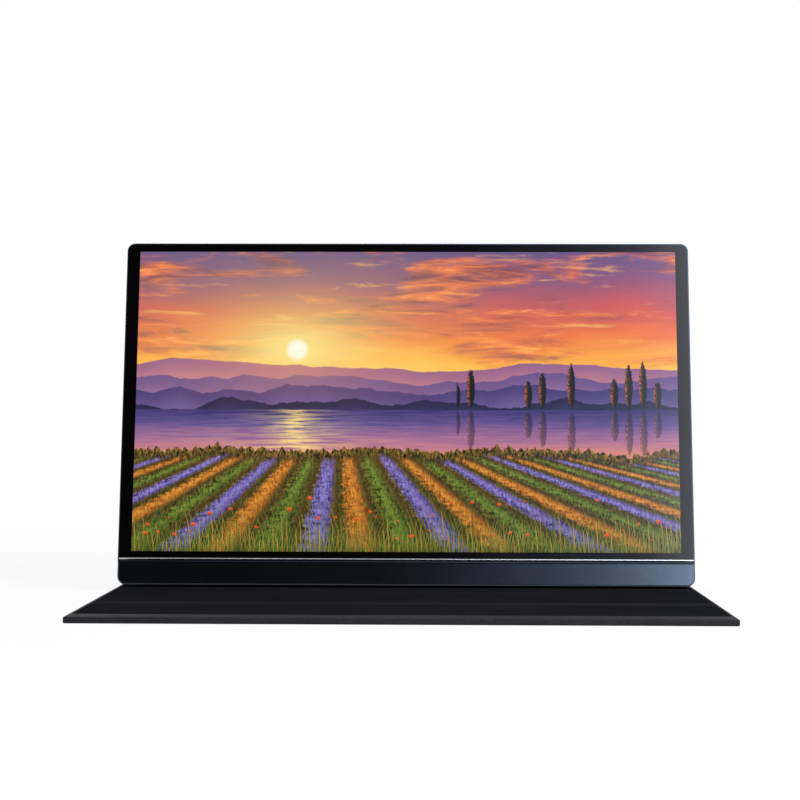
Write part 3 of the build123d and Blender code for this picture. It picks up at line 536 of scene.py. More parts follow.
# %% Paint the hills
# Seed, base height, swing, noise scale, warmth of the sun, body tone and mist tone of each range.
hill_lines = [
    (11.0, 0.615, 0.10, 1.5, 0.50, tone(146, 96, 140), tone(206, 136, 138)),
    (23.0, 0.575, 0.13, 2.1, 0.40, tone(100, 80, 140), tone(154, 114, 156)),
    (37.0, 0.535, 0.14, 2.9, 0.26, tone(64, 60, 120), tone(112, 96, 154)),
    (52.0, 0.492, 0.12, 3.7, 0.10, tone(34, 38, 76), tone(76, 72, 126)),
]


def paint_hills(art, s, height, behind, glow):
    """Four ranges of hills, each paler towards its foot, where the mist lies."""
    woods = art.noise(art.join(s * 60, height * 90), 1.0, 4, 0.7)
    for seed, base, swing, scale, warm, body, mist in hill_lines:
        ridge = (art.noise_line(s + seed, scale, 6) - 0.5) * swing + base
        below = ridge - height
        shade = art.mix(below.rise(0.0, 0.10) + (woods - 0.5) * 0.5 * (0.6 - warm), body, mist)
        shade = art.mix(glow * warm, shade, tone(255, 176, 110))
        behind = art.mix(below.rise(0.0, 0.0035), behind, shade)
    return behind


# %% Paint the poplars and the lake
def paint_poplars(art, s, height, behind, flip=1.0, strength=1.0):
    """A row of poplars on the far shore, or with `flip` of -1 their image in the water."""
    number = (s / poplar_pitch).whole()
    beside = s / poplar_pitch - number - 0.5
    tall = art.chance(number, 0.5) * 0.08 + 0.085
    leaves = art.noise(art.join(s * 1.4, height), 110, 4, 0.7)
    lift = (height - far_shore) * flip / (tall * 0.5) - 1
    shape = (beside / 0.30).squared() + lift.squared() + (leaves - 0.5) * 1.5
    grown = art.chance(number, 7.5).rise(0.28, 0.3) * s.rise(0.16, 0.17)
    sunny = (0.02 - beside).rise(0.0, 0.3) * leaves.rise(0.4, 0.6)
    leafage = art.mix(sunny, tone(26, 32, 36), tone(206, 116, 58))
    return art.mix((1 - shape.rise(0.72, 0.98)) * grown * strength, behind, leafage)


def paint_lake(art, s, height, behind):
    """Still water: the evening colours upside down, fine ripples and the sun's path."""
    down = far_shore - height
    ripples = art.noise(art.join(s * 7, height * 150), 1.0, 4, 0.65, 0.3)
    swell = art.noise(art.join(s * 2, height * 34), 1.0, 3, 0.6)
    bands = [
        (0.0, tone(56, 52, 108)),
        (0.25, tone(98, 82, 144)),
        (0.55, tone(170, 112, 148)),
        (0.85, tone(226, 140, 112)),
    ]
    water = art.ramp(down * 5.2 + (ripples - 0.5) * 0.36 + (swell - 0.5) * 0.3, bands)
    aside = (s - sun_s) / (down * 0.45 + 0.035)
    path = 1 / (aside.squared() + 1) * ripples.rise(0.36, 0.62)
    water = art.mix(path * 0.95, water, tone(255, 222, 136))
    water = paint_poplars(art, s, height, water, -1.0, 0.6)
    edge = art.noise_line(s, 9, 3) * 0.006 + far_shore - 0.003
    return art.mix((edge - height).rise(0.0, 0.002), behind, water)


# %% Paint the flower field
def paint_field(art, s, height, behind):
    """Rows of lavender, wheat and herbs that run to a vanishing point."""
    near = 1 / (vanishing_height - height).most(0.06)
    side = (s - vanishing_s) * near
    bushes = art.noise(art.join(side * 10, near * 12), 1.0, 4, 0.62, 0.3)
    strokes = art.noise(art.join(s * 150, height * 62), 1.0, 5, 0.72, 0.6)
    lane = side * rows_per_unit + (bushes - 0.5) * 0.5 + (strokes - 0.5) * 0.34
    number = lane.whole()
    beside = lane - number
    hump = 1 - (beside * 2 - 1).absolute()
    lit = (strokes - 0.5) * 2.2 + (bushes - 0.5) * 1.2 + hump * 0.55
    sunlit = lit.rise(-0.1, 1.0)
    lavender = art.mix(sunlit, tone(46, 38, 92), tone(158, 142, 222))
    wheat = art.mix(sunlit, tone(112, 52, 18), tone(240, 160, 62))
    herbs = art.mix(sunlit, tone(28, 44, 16), tone(132, 150, 58))
    kind = (number + 1).remainder(3) + art.chance(number, 4.5) * 0.3
    plants = art.mix(kind.rise(0.6, 0.7), lavender, wheat)
    plants = art.mix(kind.rise(1.6, 1.7), plants, herbs)
    soil = art.mix(lit.rise(-0.6, 0.7), tone(30, 32, 16), tone(126, 104, 46))
    soil = art.mix(strokes.rise(0.52, 0.7) * 0.7, soil, tone(118, 138, 50))
    field = art.mix(hump.rise(0.26, 0.5), soil, plants)
    field = art.mix((1 - hump.rise(0.05, 0.4)) * 0.4, field, tone(18, 24, 12))
    low_sun = 1 / ((s - sun_s).squared() * 3 + 1)
    field = art.mix(near.rise(3.6, 10.0) * low_sun * 0.5, field, tone(240, 160, 92))
    field = art.mix((1 - height.rise(0.0, 0.2)) * 0.3, field, tone(16, 22, 12))
    shrubs = art.noise_line(s, 46, 5) * 0.045 + art.noise_line(s + 5, 2.2, 2) * 0.08 + 0.275
    into_hedge = height - shrubs + 0.05
    leaves = strokes.rise(0.4, 0.66) * into_hedge.rise(0.0, 0.05)
    hedge = art.mix(leaves, tone(20, 30, 18), tone(176, 136, 62))
    field = art.mix(into_hedge.rise(0.0, 0.03), field, hedge)
    return art.mix((shrubs - height).rise(0.0, 0.003), behind, field)


# %% Paint the grass and the poppies
# Pitch, height, lean, seed, dark tone and light tone of each layer of grass.
grass_layers = [
    (0.0130, 0.21, -0.22, 3.0, tone(40, 62, 18), tone(150, 158, 58)),
    (0.0100, 0.17, 0.26, 17.0, tone(34, 58, 20), tone(128, 156, 60)),
    (0.0150, 0.14, -0.05, 29.0, tone(72, 62, 20), tone(222, 176, 76)),
    (0.0080, 0.11, 0.14, 41.0, tone(30, 54, 16), tone(166, 184, 76)),
]
# Pitch, height of the blooms and seed of each row of poppies.
poppy_rows = [(0.085, 0.155, 5.0), (0.066, 0.105, 11.0), (0.052, 0.055, 23.0)]


def paint_blades(art, s, height, behind, layer):
    """One layer of grass. Each blade leans in its own cell and narrows to a point."""
    pitch, tall, lean, seed, dark, light = layer
    bent = (s - height * lean - height * height * lean * 2.5) / pitch
    cell = bent.whole()
    crowd = art.noise_line(s + seed, 5, 3)
    long = (art.chance(cell, seed) * 0.75 + 0.25) * tall * (crowd + 0.5)
    share = height / long
    slant = (art.chance(cell, seed + 3) - 0.5) * 0.6
    aside = (bent - cell - 0.5 - slant * share * share).absolute()
    blade = 1 - (aside / ((1 - share) * 0.2).most(0.001)).rise(0.6, 1.0)
    colour = art.mix(share * 0.7 + art.chance(cell, seed + 5) * 0.4, dark, light)
    return art.mix(blade * (1 - share.rise(0.94, 1.0)), behind, colour)


def paint_poppies(art, s, height, behind, row):
    """One row of poppies: an open cup with a dark heart on each of some thin stems."""
    pitch, level, seed = row
    cell = (s / pitch).whole()
    beside = (s / pitch - cell - 0.5) * pitch - (art.chance(cell, seed) - 0.5) * pitch * 0.5
    above = height - level - (art.chance(cell, seed + 1) - 0.5) * 0.05
    petals = art.noise(art.join(s, height), 160, 2) * 0.00016
    size = art.chance(cell, seed + 2) * 0.004 + 0.009
    cup = (beside.squared() + above.squared() * 1.7 + petals) / size.squared()
    grown = art.chance(cell, seed + 7).rise(0.42, 0.44)
    stem = (1 - beside.absolute().rise(0.0008, 0.0018)) * (1 - above.rise(-0.002, 0.002))
    behind = art.mix(stem * grown * 0.8, behind, tone(62, 92, 30))
    shade = art.mix((above / size).rise(-1.0, 1.0), tone(168, 28, 14), tone(255, 112, 44))
    shade = art.mix(1 - cup.rise(0.02, 0.14), shade, tone(40, 12, 16))
    return art.mix((1 - cup.rise(0.8, 1.1)) * grown, behind, shade)


def paint_foreground(art, s, height, behind):
    """Grass and poppies in turn, from the far ones to the near ones."""
    for grass, poppies in zip_longest(grass_layers, poppy_rows):
        behind = paint_blades(art, s, height, behind, grass)
        if poppies:
            behind = paint_poppies(art, s, height, behind, poppies)
    return behind


# %% [markdown]
# ## Cover glass
#
# One sheet of glass covers the black border and the display. It stays the CAD node, and a single
# material does both: outside the lit area the glass is backed by black ink, and inside it the
# picture is emitted. Faint wiping marks in the roughness keep the gloss from looking perfect.


# %% Make the glass
def make_glass():
    glass = Finish("front_glass", Emission_Strength=1.0, IOR=1.5, Specular_IOR_Level=0.42)
    x, height = glass.on_screen()
    s = x / active_height
    share = (height - active_bottom) / active_height
    sky, glow = paint_sky(glass, s, share)
    picture = paint_hills(glass, s, share, sky, glow)
    for paint in (paint_lake, paint_poplars, paint_field, paint_foreground):
        picture = paint(glass, s, share, picture)
    beside = active_width / 2 - x.absolute()
    over = active_height / 2 - (height - active_bottom - active_height / 2).absolute()
    lit = beside.least(over).rise(-lit_edge, lit_edge)
    glass.paint("Emission Color", glass.mix(lit, tone(0, 0, 0), picture))
    wiped = glass.noise(glass.stretched(1.0, 1.0, 0.4), 30, 5, 0.6, 0.6)
    glass.paint("Base Color", glass.mix(lit, tone(2, 2, 3), tone(8, 8, 10)))
    glass.paint("Roughness", wiped.rise(0.3, 0.8) * 0.05 + 0.07)
    return glass.material


front_glass = make_glass()
print("glass nodes", len(front_glass.node_tree.nodes))

# %% [markdown]
# ## Inner finishes
#
# The parts inside the case never show in the picture, but they are part of the model, so they get
# honest finishes too. Most are the speckled base with their own tones. The circuit boards have
# copper tracks under green lacquer: thin lines on a square grid, let through by noise.

# %% Make the circuit board
track_pitch = 1.1 * mm
track_share = 0.34
track_soft = 0.08


def make_board():
    """Copper tracks on a square grid under green lacquer, and round gilded pads."""
    board = Finish("board_green", Coat_Weight=0.4, Coat_Roughness=0.2)
    runs = []
    for side in board.on_screen():
        gap = (side / track_pitch).remainder(1).rise(track_share, track_share + track_soft)
        runs.append(1 - gap)
    blocks = board.noise(board.place, 160, 1)
    tracks = runs[0] * blocks.rise(0.5, 0.52) + runs[1] * (1 - blocks.rise(0.42, 0.44))
    dots = board.node("ShaderNodeTexVoronoi", None, {"Vector": board.place, "Scale": 260.0})
    pads = 1 - dots.rise(0.16, 0.2)
    base = board.mix(tracks.least(1.0), tone(14, 74, 46), tone(34, 112, 66))
    board.paint("Base Color", board.mix(pads, base, tone(206, 176, 104)))
    board.paint("Metallic", pads * 0.9)
    board.paint("Roughness", 0.42 - pads * 0.1)
    board.relief(tracks, 0.4, 40 * micron)
    return board.material


# %% Make the other inner finishes
finishes = {
    "outer_leather": outer_leather,
    "microfibre": microfibre,
    "case_metal": case_metal,
    "trim_metal": trim_metal,
    "chin_metal": chin_metal,
    "front_glass": front_glass,
    "board_green": make_board(),
}
# Dark tone, light tone, roughness, scale of the grain, relief in micrometres, and 1 for a metal.
plain_finishes = {
    "folio_board": ((150, 138, 118), (172, 160, 138), 0.85, 1800, 80, 0.0),
    "magnet": ((196, 198, 202), (216, 218, 222), 0.25, 3000, 10, 1.0),
    "plate_steel": ((160, 161, 163), (186, 187, 189), 0.36, 2600, 20, 1.0),
    "tape": ((22, 22, 23), (34, 34, 35), 0.92, 2400, 120, 0.0),
    "frame_plastic": ((40, 40, 42), (52, 52, 54), 0.55, 3200, 30, 0.0),
    "cell_glass": ((44, 46, 52), (58, 60, 66), 0.12, 900, 4, 0.0),
    "film": ((232, 234, 236), (246, 247, 248), 0.38, 4000, 10, 0.0),
    "guide_plastic": ((226, 234, 238), (242, 247, 249), 0.15, 2200, 10, 0.0),
    "tray_steel": ((168, 170, 173), (188, 190, 193), 0.32, 2800, 20, 1.0),
    "chip_black": ((26, 26, 28), (40, 40, 42), 0.5, 4200, 20, 0.0),
    "ribbon_amber": ((150, 92, 34), (178, 116, 48), 0.3, 1600, 10, 0.0),
    "socket_steel": ((178, 180, 184), (204, 206, 210), 0.28, 3600, 10, 1.0),
    "moulded_black": ((24, 24, 26), (34, 34, 37), 0.5, 3800, 30, 0.0),
    "screw_steel": ((84, 86, 92), (104, 106, 112), 0.3, 4200, 10, 1.0),
    "contact_gold": ((214, 176, 96), (236, 202, 126), 0.22, 3600, 10, 1.0),
}
for name, (dark, light, roughness, grain, depth, metal) in plain_finishes.items():
    finishes[name] = speckled(name, dark, light, roughness, grain, depth * micron, metal)
print("finishes", len(finishes))

# %% Give each CAD node its finish
own_finishes = {"chin_bar": chin_metal}
for part in frame["record"]["subparts"]:
    slots = frame["nodes"][part["node"]].data.materials
    slots.clear()
    slots.append(own_finishes.get(part["node"], finishes[part["material_slot"]]))

# %% [markdown]
# ## Meshes and pieces
#
# Pieces are made in a flat frame of their own, in metres, and then moved into place by a matrix
# that is applied to the mesh, so that the object itself stays at the origin.

# %% Define the piece helpers
weld_distance = 0.1 * micron
smooth_below = radians(35)


def mesh_from(name, points, faces, axes):
    """A mesh with its faces turned outwards and its place in its points."""
    mesh = bpy.data.meshes.new(name)
    mesh.from_pydata([tuple(point) for point in points], [], faces)
    shape = bmesh.new()
    shape.from_mesh(mesh)
    bmesh.ops.remove_doubles(shape, verts=shape.verts, dist=weld_distance)
    bmesh.ops.recalc_face_normals(shape, faces=shape.faces)
    shape.to_mesh(mesh)
    shape.free()
    mesh.transform(axes)
    return mesh


def finish_piece(name, mesh, slot, body=None, stands_for=(), finish=None):
    """Links a mesh as a smooth piece with its finish, and seats it in the frame."""
    piece = bpy.data.objects.new(name, mesh)
    scene.collection.objects.link(piece)
    mesh.materials.clear()
    mesh.materials.append(finishes[finish or slot])
    mesh.polygons.foreach_set("use_smooth", [True] * len(mesh.polygons))
    mesh.set_sharp_from_angle(angle=smooth_below)
    if body:
        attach(piece, body)
    if stands_for:
        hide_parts(*stands_for)
    print(name, "faces", len(mesh.polygons))
    return piece


def bridge(loops):
    """Faces between closed loops of equal length, with a flat face at each end."""
    count = len(loops[0])
    faces = [list(range(count)), list(range((len(loops) - 1) * count, len(loops) * count))]
    for level in range(len(loops) - 1):
        for place in range(count):
            here = level * count + place
            beside = level * count + (place + 1) % count
            faces.append([here, beside, beside + count, here + count])
    return faces


def lofted(name, loops, axes):
    """A closed mesh over a row of loops."""
    points = [point for loop in loops for point in loop]
    return mesh_from(name, points, bridge(loops), axes)


# %% [markdown]
# ## Folio panels
#
# Each panel is a board wrapped in leather. The leather is turned over the free edges and ends in a
# hem on the inside, with the lining let in up to the hem. A section through the edge is the same all
# round, so the panel is a stack of rounded rectangles: each has its own inset and level, and faces
# bridge one to the next. At a fold the hem is narrow, because the leather runs on into the fold.

# %% Name the sizes of the folio
half_thickness = reach("lid_outer_skin", lid_line, upright)[1]
folio_width = 2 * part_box("lid_outer_skin")[1].x
side_hem = 2.0 * mm
front_hem = 16.0 * mm
fold_hem = 1.3 * mm
hem_step = 0.28 * mm
edge_round = 0.95 * mm
free_corner = 1.6 * mm
fold_corner = 0.8 * mm
least_corner = 0.2 * mm
lining_depth = 0.9 * mm
arc_steps = 6
quarter_turn = [step / arc_steps * pi / 2 for step in range(arc_steps + 1)]
print("folio thickness in mm", round(2 * half_thickness / mm, 3), "width", round(folio_width / mm, 2))


def rounded_loop(half_width, low, high, low_corner, high_corner, level):
    """A rectangle with rounded corners, as points at one level."""
    corners = [
        (half_width, high, high_corner, 0),
        (-half_width, high, high_corner, 1),
        (-half_width, low, low_corner, 2),
        (half_width, low, low_corner, 3),
    ]
    points = []
    for x, y, radius, quarter in corners:
        centre_x = x - radius * (1 if x > 0 else -1)
        centre_y = y - radius * (1 if y == high else -1)
        for step in range(arc_steps + 1):
            angle = (quarter + step / arc_steps) * pi / 2
            points.append((centre_x + radius * cos(angle), centre_y + radius * sin(angle), level))
    return points


# %% Build the leather panels
def edge_section():
    """Insets and levels of a panel's edge, from its outside face round to its hem."""
    section = []
    for angle in quarter_turn:
        section.append((edge_round * (1 - sin(angle)), edge_round * (1 - cos(angle)) - half_thickness))
    for angle in quarter_turn:
        section.append((edge_round * (1 - cos(angle)), half_thickness - edge_round * (1 - sin(angle))))
    return section


def hem_width(free):
    """The width of the hem at a free edge, or at a fold."""
    return front_hem if free else fold_hem


def panel_mesh(name, axes, low, high, free_low, free_high):
    """The leather of one panel: rounded edges, a hem and the seat of the lining."""
    hems = [
        (-hem_step, half_thickness),
        (-hem_step / 3, half_thickness - hem_step / 3),
        (0, half_thickness - hem_step),
        (0, half_thickness - lining_depth),
    ]
    insets = [(inset, inset, inset, level) for inset, level in edge_section()]
    for step, level in hems:
        insets.append((side_hem + step, hem_width(free_low) + step, hem_width(free_high) + step, level))
    low_corner = free_corner if free_low else fold_corner
    high_corner = free_corner if free_high else fold_corner
    loops = []
    for side, at_low, at_high, level in insets:
        low_radius = max(low_corner - at_low, least_corner)
        high_radius = max(high_corner - at_high, least_corner)
        half_width = folio_width / 2 - side
        loops.append(rounded_loop(half_width, low + at_low, high - at_high, low_radius, high_radius, level))
    return lofted(name, loops, axes)


# The fold line that each panel is measured from, the way it runs, and whether each end is free.
panels = {
    "lid": (lid_line, backwards, True, False),
    "spine": (lid_line, backwards, False, False),
    "lower_back": (rear_line, lower_back_along, False, False),
    "upper_back": (fold_line, up, False, True),
}
for body, (line, along, free_low, free_high) in panels.items():
    low, high = reach(body + "_outer_skin", line, along)
    axes = axes_at(line, across, along)
    mesh = panel_mesh(body + "_leather", axes, low, high, free_low, free_high)
    finish_piece(body + "_leather", mesh, "outer_leather", body, [body + "_outer_skin"])

# %% [markdown]
# ## Linings
#
# The lining is a soft sheet: a grid whose height drops away in a small round towards its edges and
# waves very slightly in between. The lid's lining has a crease pressed across it, where the lid can
# be folded back on itself. The grid is fine only where the height changes, so the sheet stays light.

# %% Name the sizes of the lining
lining_edge = 0.7 * mm
lining_sink = 0.05 * mm
edge_drop = (lining_depth - lining_sink) * 0.6
seam = 0.12 * mm
crease_half = 2.6 * mm
crease_depth = 0.35 * mm
wave_height = 0.03 * mm
wave_scale = 22.0
grid_step = 9 * mm
print("the lining drops at its edges by mm", round(edge_drop / mm, 2))


def graded(low, high, extra=()):
    """Places from low to high, close together near both ends and near the extra places."""
    places = set()
    for share in (0.0, 0.08, 0.2, 0.4, 0.65, 1.0):
        places |= {low + share * lining_edge, high - share * lining_edge}
    inner_low = low + lining_edge
    inner_high = high - lining_edge
    count = max(round((inner_high - inner_low) / grid_step), 1)
    places |= {inner_low + (inner_high - inner_low) * index / count for index in range(1, count)}
    for place in extra:
        places |= {place + crease_half * share / 4 for share in range(-5, 6)}
    return sorted(places)


# %% Build the linings
def lining_height(x, y, low, high, half_width, creases):
    """The sheet's level at a place: round at its edges, waved, and pressed in at creases."""
    edge = min(half_width - abs(x), y - low, high - y, lining_edge) / lining_edge
    drop = edge_drop * (1 - sqrt(1 - (1 - edge) ** 2))
    for crease in creases:
        near = min(abs(y - crease) / crease_half, 1.0)
        drop += crease_depth * (1 - near) ** 2 * (1 + 2 * near)
    wave = noise.noise(Vector((x * wave_scale, y * wave_scale, low))) * wave_height * edge
    return half_thickness - lining_sink - drop - abs(wave)


def lining_mesh(name, axes, low, high, half_width, creases):
    """A grid at those levels, closed by walls and by a flat base in the panel's seat."""
    xs = graded(-half_width, half_width)
    ys = graded(low, high, creases)
    points = [(x, y, lining_height(x, y, low, high, half_width, creases)) for y in ys for x in xs]
    columns = len(xs)
    rows = len(ys)
    faces = []
    for row in range(rows - 1):
        for column in range(columns - 1):
            here = row * columns + column
            faces.append([here, here + 1, here + columns + 1, here + columns])
    # The rim goes once round the grid: its low side, its right, its high side and its left.
    rim = list(range(columns)) + [row * columns + columns - 1 for row in range(1, rows)]
    rim += [(rows - 1) * columns + column for column in range(columns - 2, -1, -1)]
    rim += [row * columns for row in range(rows - 2, 0, -1)]
    start = len(points)
    points += [(points[index][0], points[index][1], half_thickness - lining_depth) for index in rim]
    for place, index in enumerate(rim):
        after = (place + 1) % len(rim)
        faces.append([rim[after], index, start + place, start + after])
    faces.append(list(range(start, start + len(rim))))
    return mesh_from(name, points, faces, axes)


for body, (line, along, free_low, free_high) in panels.items():
    low, high = reach(body + "_outer_skin", line, along)
    creases = [low + crease_from_front] if body == "lid" else []
    low += seam + hem_width(free_low)
    high -= seam + hem_width(free_high)
    axes = axes_at(line, across, along)
    mesh = lining_mesh(body + "_nap", axes, low, high, folio_width / 2 - side_hem - seam, creases)
    finish_piece(body + "_nap", mesh, "microfibre", body, [body + "_lining"])

# %% [markdown]
# ## Folds
#
# Between two panels the leather and the lining are pressed together into a thin strip that bends.
# Its centre line is a cubic curve that leaves each panel in that panel's own direction. The strip is
# thicker where it meets the panels and thin in the middle.

# %% Build the fold strips
strip_thick = 2.3 * mm
strip_thin = 1.15 * mm
strip_tuck = 1.0 * mm
strip_steps = 18
strip_side = 0.55 * mm
strip_inset = 1.0 * mm


def fold_curve(start, start_along, end, end_along):
    """Points of a cubic curve from one panel's end to the next, tucked into both panels."""
    pull = (end - start).length / 3
    first = start + start_along * pull
    second = end - end_along * pull
    centre = [start - start_along * strip_tuck]
    for step in range(strip_steps + 1):
        t = step / strip_steps
        centre.append(
            start * (1 - t) ** 3
            + first * 3 * t * (1 - t) ** 2
            + second * 3 * t * t * (1 - t)
            + end * t**3
        )
    centre.append(end + end_along * strip_tuck)
    return centre


def fold_mesh(name, centre):
    """A strip along a curve, thinner in the middle of it and rounded at both sides."""
    half_width = folio_width / 2 - strip_inset
    loops = []
    for index, place in enumerate(centre):
        before = centre[max(index - 1, 0)]
        after = centre[min(index + 1, len(centre) - 1)]
        square = across.cross((after - before).normalized())
        share = min(max((index - 1) / strip_steps, 0), 1)
        thick = strip_thin + (strip_thick - strip_thin) * (2 * share - 1) ** 4
        edge = min(strip_side, thick / 2)
        loop = []
        for side in (1, -1):
            for step in range(arc_steps + 1):
                angle = side * (pi / 2 - step / arc_steps * pi)
                beside = across * side * (half_width - edge + edge * cos(angle))
                loop.append(place + beside + square * (thick / 2) * sin(angle))
        loops.append(loop)
    return lofted(name, loops, Matrix.Identity(4))


def panel_end(body, end):
    """A panel's low end, 0, or its high end, 1, and the way that the panel runs."""
    line, along = panels[body][:2]
    return line + along * reach(body + "_outer_skin", line, along)[end], along


folds = [
    ("lid_fold_leather", "lid_hinge_strip", "lid", "spine"),
    ("rear_fold_leather", "spine_hinge_strip", "spine", "lower_back"),
    ("stand_fold_leather", "stand_fold_strip", "lower_back", "upper_back"),
]
for name, node, first_body, second_body in folds:
    start, start_along = panel_end(first_body, 1)
    end, end_along = panel_end(second_body, 0)
    mesh = fold_mesh(name, fold_curve(start, start_along, end, end_along))
    strip = finish_piece(name, mesh, "outer_leather", None, [node])
    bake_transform(strip)

# %% [markdown]
# ## Trim strip
#
# The bright line over the chin is a drawn metal strip with a rounded face. A rounded face matters:
# it gathers light from above and below, so the line stays bright where the flat chin is dark. It is
# one half-round section carried along the monitor, with its ends drawn in.

# %% Build the trim strip
trim_back = -reach("trim_strip", foot_edge, towards_viewer)[0]
trim_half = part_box("trim_strip")[1].x
trim_crown = 0.42 * mm
trim_steps = 10


def trim_section(x, share):
    """The strip's outline at x, with its height and crown drawn in by a share."""
    centre = (trim_low + trim_high) / 2
    tall = (trim_high - trim_low) / 2 * share
    points = [(x, centre - tall, -trim_back), (x, centre + tall, -trim_back)]
    for step in range(trim_steps + 1):
        angle = pi / 2 - step / trim_steps * pi
        points.append((x, centre + tall * sin(angle), trim_crown * share * cos(angle) - trim_crown))
    return points


# The distance from each end, and how much of the full section is left there.
end_shares = [(0.0, 0.55), (0.1 * mm, 0.82), (0.3 * mm, 0.96), (0.6 * mm, 1.0)]
sections = [trim_section(-trim_half + inset, share) for inset, share in end_shares]
sections += [trim_section(trim_half - inset, share) for inset, share in reversed(end_shares)]
trim_mesh = lofted("trim_bead", sections, screen_axes)
finish_piece("trim_bead", trim_mesh, "trim_metal", "monitor", ["trim_strip"])

# %% [markdown]
# ## Geometry Nodes for what repeats
#
# Screws, contacts and the wires of the loudspeaker mesh are the same thing many times over. A
# Geometry Nodes tree makes one of them from named sizes and puts a copy on every point. `run_tree`
# runs a tree on a carrier object, reads the result back as a plain mesh and removes the carrier, so
# that no modifier is left.


# %% Run a Geometry Nodes tree
def new_tree(name, sizes):
    """An empty tree with one geometry input and one number input for each named size."""
    tree = bpy.data.node_groups.new(name, "GeometryNodeTree")
    tree.interface.new_socket("Geometry", in_out="INPUT", socket_type="NodeSocketGeometry")
    for size, value in sizes.items():
        kind = "NodeSocketInt" if isinstance(value, int) else "NodeSocketFloat"
        tree.interface.new_socket(size, in_out="INPUT", socket_type=kind).default_value = value
    tree.interface.new_socket("Geometry", in_out="OUTPUT", socket_type="NodeSocketGeometry")
    maker = Nodes(tree)
    inputs = maker.node("NodeGroupInput").socket.node
    return maker, {socket.name: Wire(maker, socket) for socket in inputs.outputs if socket.name}


def centred_row(maker, count, pitch, on_x, on_y, lift=0.0):
    """Points in a row along x or y, with its middle over the origin."""
    begin = (count - 1) * pitch * -0.5
    start = maker.join(begin * on_x, begin * on_y, lift)
    step = maker.join(pitch * on_x, pitch * on_y)
    values = {"Count": count, "Start Location": start, "Offset": step}
    return maker.node("GeometryNodeMeshLine", None, values)


def copies_on(maker, points, shape, turn=(0.0, 0.0, 0.0)):
    """A copy of a shape on each point of a mesh, all turned alike."""
    places = maker.node("GeometryNodeMeshToPoints", None, {"Mesh": points})
    values = {"Points": places, "Instance": shape, "Rotation": turn}
    return maker.node("GeometryNodeInstanceOnPoints", None, values)


def moved_up(maker, shape, lift):
    """A shape moved along its own z."""
    values = {"Geometry": shape, "Translation": maker.join(0.0, 0.0, lift)}
    return maker.node("GeometryNodeTransform", None, values)


def close_tree(maker, shape, finish):
    """Ends a tree: real copies, one material, one output."""
    real = maker.node("GeometryNodeRealizeInstances", None, {"Geometry": shape})
    done = maker.node("GeometryNodeSetMaterial", None, {"Geometry": real, "Material": finish})
    out = maker.tree.nodes.new("NodeGroupOutput")
    maker.tree.links.new(done.socket, out.inputs[0])
    return maker.tree


def run_tree(tree, name, points, sizes):
    """Runs a tree on loose points and returns its result as a plain mesh."""
    seeds = bpy.data.meshes.new(name + "_points")
    seeds.from_pydata([tuple(point) for point in points], [], [])
    carrier = bpy.data.objects.new(name + "_carrier", seeds)
    scene.collection.objects.link(carrier)
    modifier = carrier.modifiers.new(name, "NODES")
    modifier.node_group = tree
    for item in tree.interface.items_tree:
        if item.in_out == "INPUT" and item.name in sizes:
            modifier[item.identifier] = sizes[item.name]
    ready = bpy.context.evaluated_depsgraph_get()
    mesh = bpy.data.meshes.new_from_object(carrier.evaluated_get(ready))
    mesh.name = name
    bpy.data.objects.remove(carrier)
    print(name, "points", len(points), "faces", len(mesh.polygons))
    return mesh


# %% [markdown]
# ## Cover screws
#
# Four countersunk screws hold the chin bar from behind. A real head has a cross recess, so the tree
# cuts two crossed slots out of a cone with a boolean, adds the shank and copies the result onto the
# four screw places, which are read from the CAD node's own points.

# %% Build the cover screws
screw_sizes = {
    "Head Radius": 1.95 * mm,
    "Shank Radius": 0.98 * mm,
    "Head Height": 0.97 * mm,
    "Shank Length": 5.0 * mm,
    "Slot Width": 0.42 * mm,
    "Slot Length": 2.1 * mm,
    "Slot Depth": 0.6 * mm,
}


def screw_tree():
    """A cone cut by two crossed slots, on a shank, with a copy on every point."""
    maker, size = new_tree("cross_screws", screw_sizes)
    cone_values = {
        "Vertices": 36,
        "Radius Top": size["Head Radius"],
        "Radius Bottom": size["Shank Radius"],
        "Depth": size["Head Height"],
    }
    cone = maker.node("GeometryNodeMeshCone", None, cone_values)
    head = moved_up(maker, cone, size["Head Height"] * -1)
    cutters = []
    for wide, long in (("Slot Width", "Slot Length"), ("Slot Length", "Slot Width")):
        box_size = maker.join(size[wide], size[long], size["Slot Depth"] * 2)
        cutters.append(maker.node("GeometryNodeMeshCube", None, {"Size": box_size}))
    cut = maker.node("GeometryNodeMeshBoolean", {"operation": "DIFFERENCE"}, {"Mesh 1": head})
    maker.link_all(cutters, cut, "Mesh 2")
    rod_values = {"Vertices": 24, "Radius": size["Shank Radius"], "Depth": size["Shank Length"]}
    rod = maker.node("GeometryNodeMeshCylinder", None, rod_values)
    shank = moved_up(maker, rod, size["Head Height"] * -1 - size["Shank Length"] * 0.5)
    screw = maker.link_all([cut, shank], maker.node("GeometryNodeJoinGeometry"), 0)
    return close_tree(maker, copies_on(maker, size["Geometry"], screw), finishes["screw_steel"])


def island_middles(node):
    """The middle of each separate solid of a CAD node, found by joining touching triangles."""
    shape = bmesh.new()
    shape.from_mesh(frame["nodes"][node].data)
    bmesh.ops.remove_doubles(shape, verts=shape.verts, dist=micron)
    left = set(shape.verts)
    middles = []
    while left:
        wave = [left.pop()]
        island = []
        while wave:
            vertex = wave.pop()
            island.append(vertex.co.copy())
            for edge in vertex.link_edges:
                other = edge.other_vert(vertex)
                if other in left:
                    left.remove(other)
                    wave.append(other)
        low = Vector(min(place[axis] for place in island) for axis in range(3))
        high = Vector(max(place[axis] for place in island) for axis in range(3))
        middles.append((low + high) / 2)
    shape.free()
    return sorted(middles, key=lambda place: place.x)


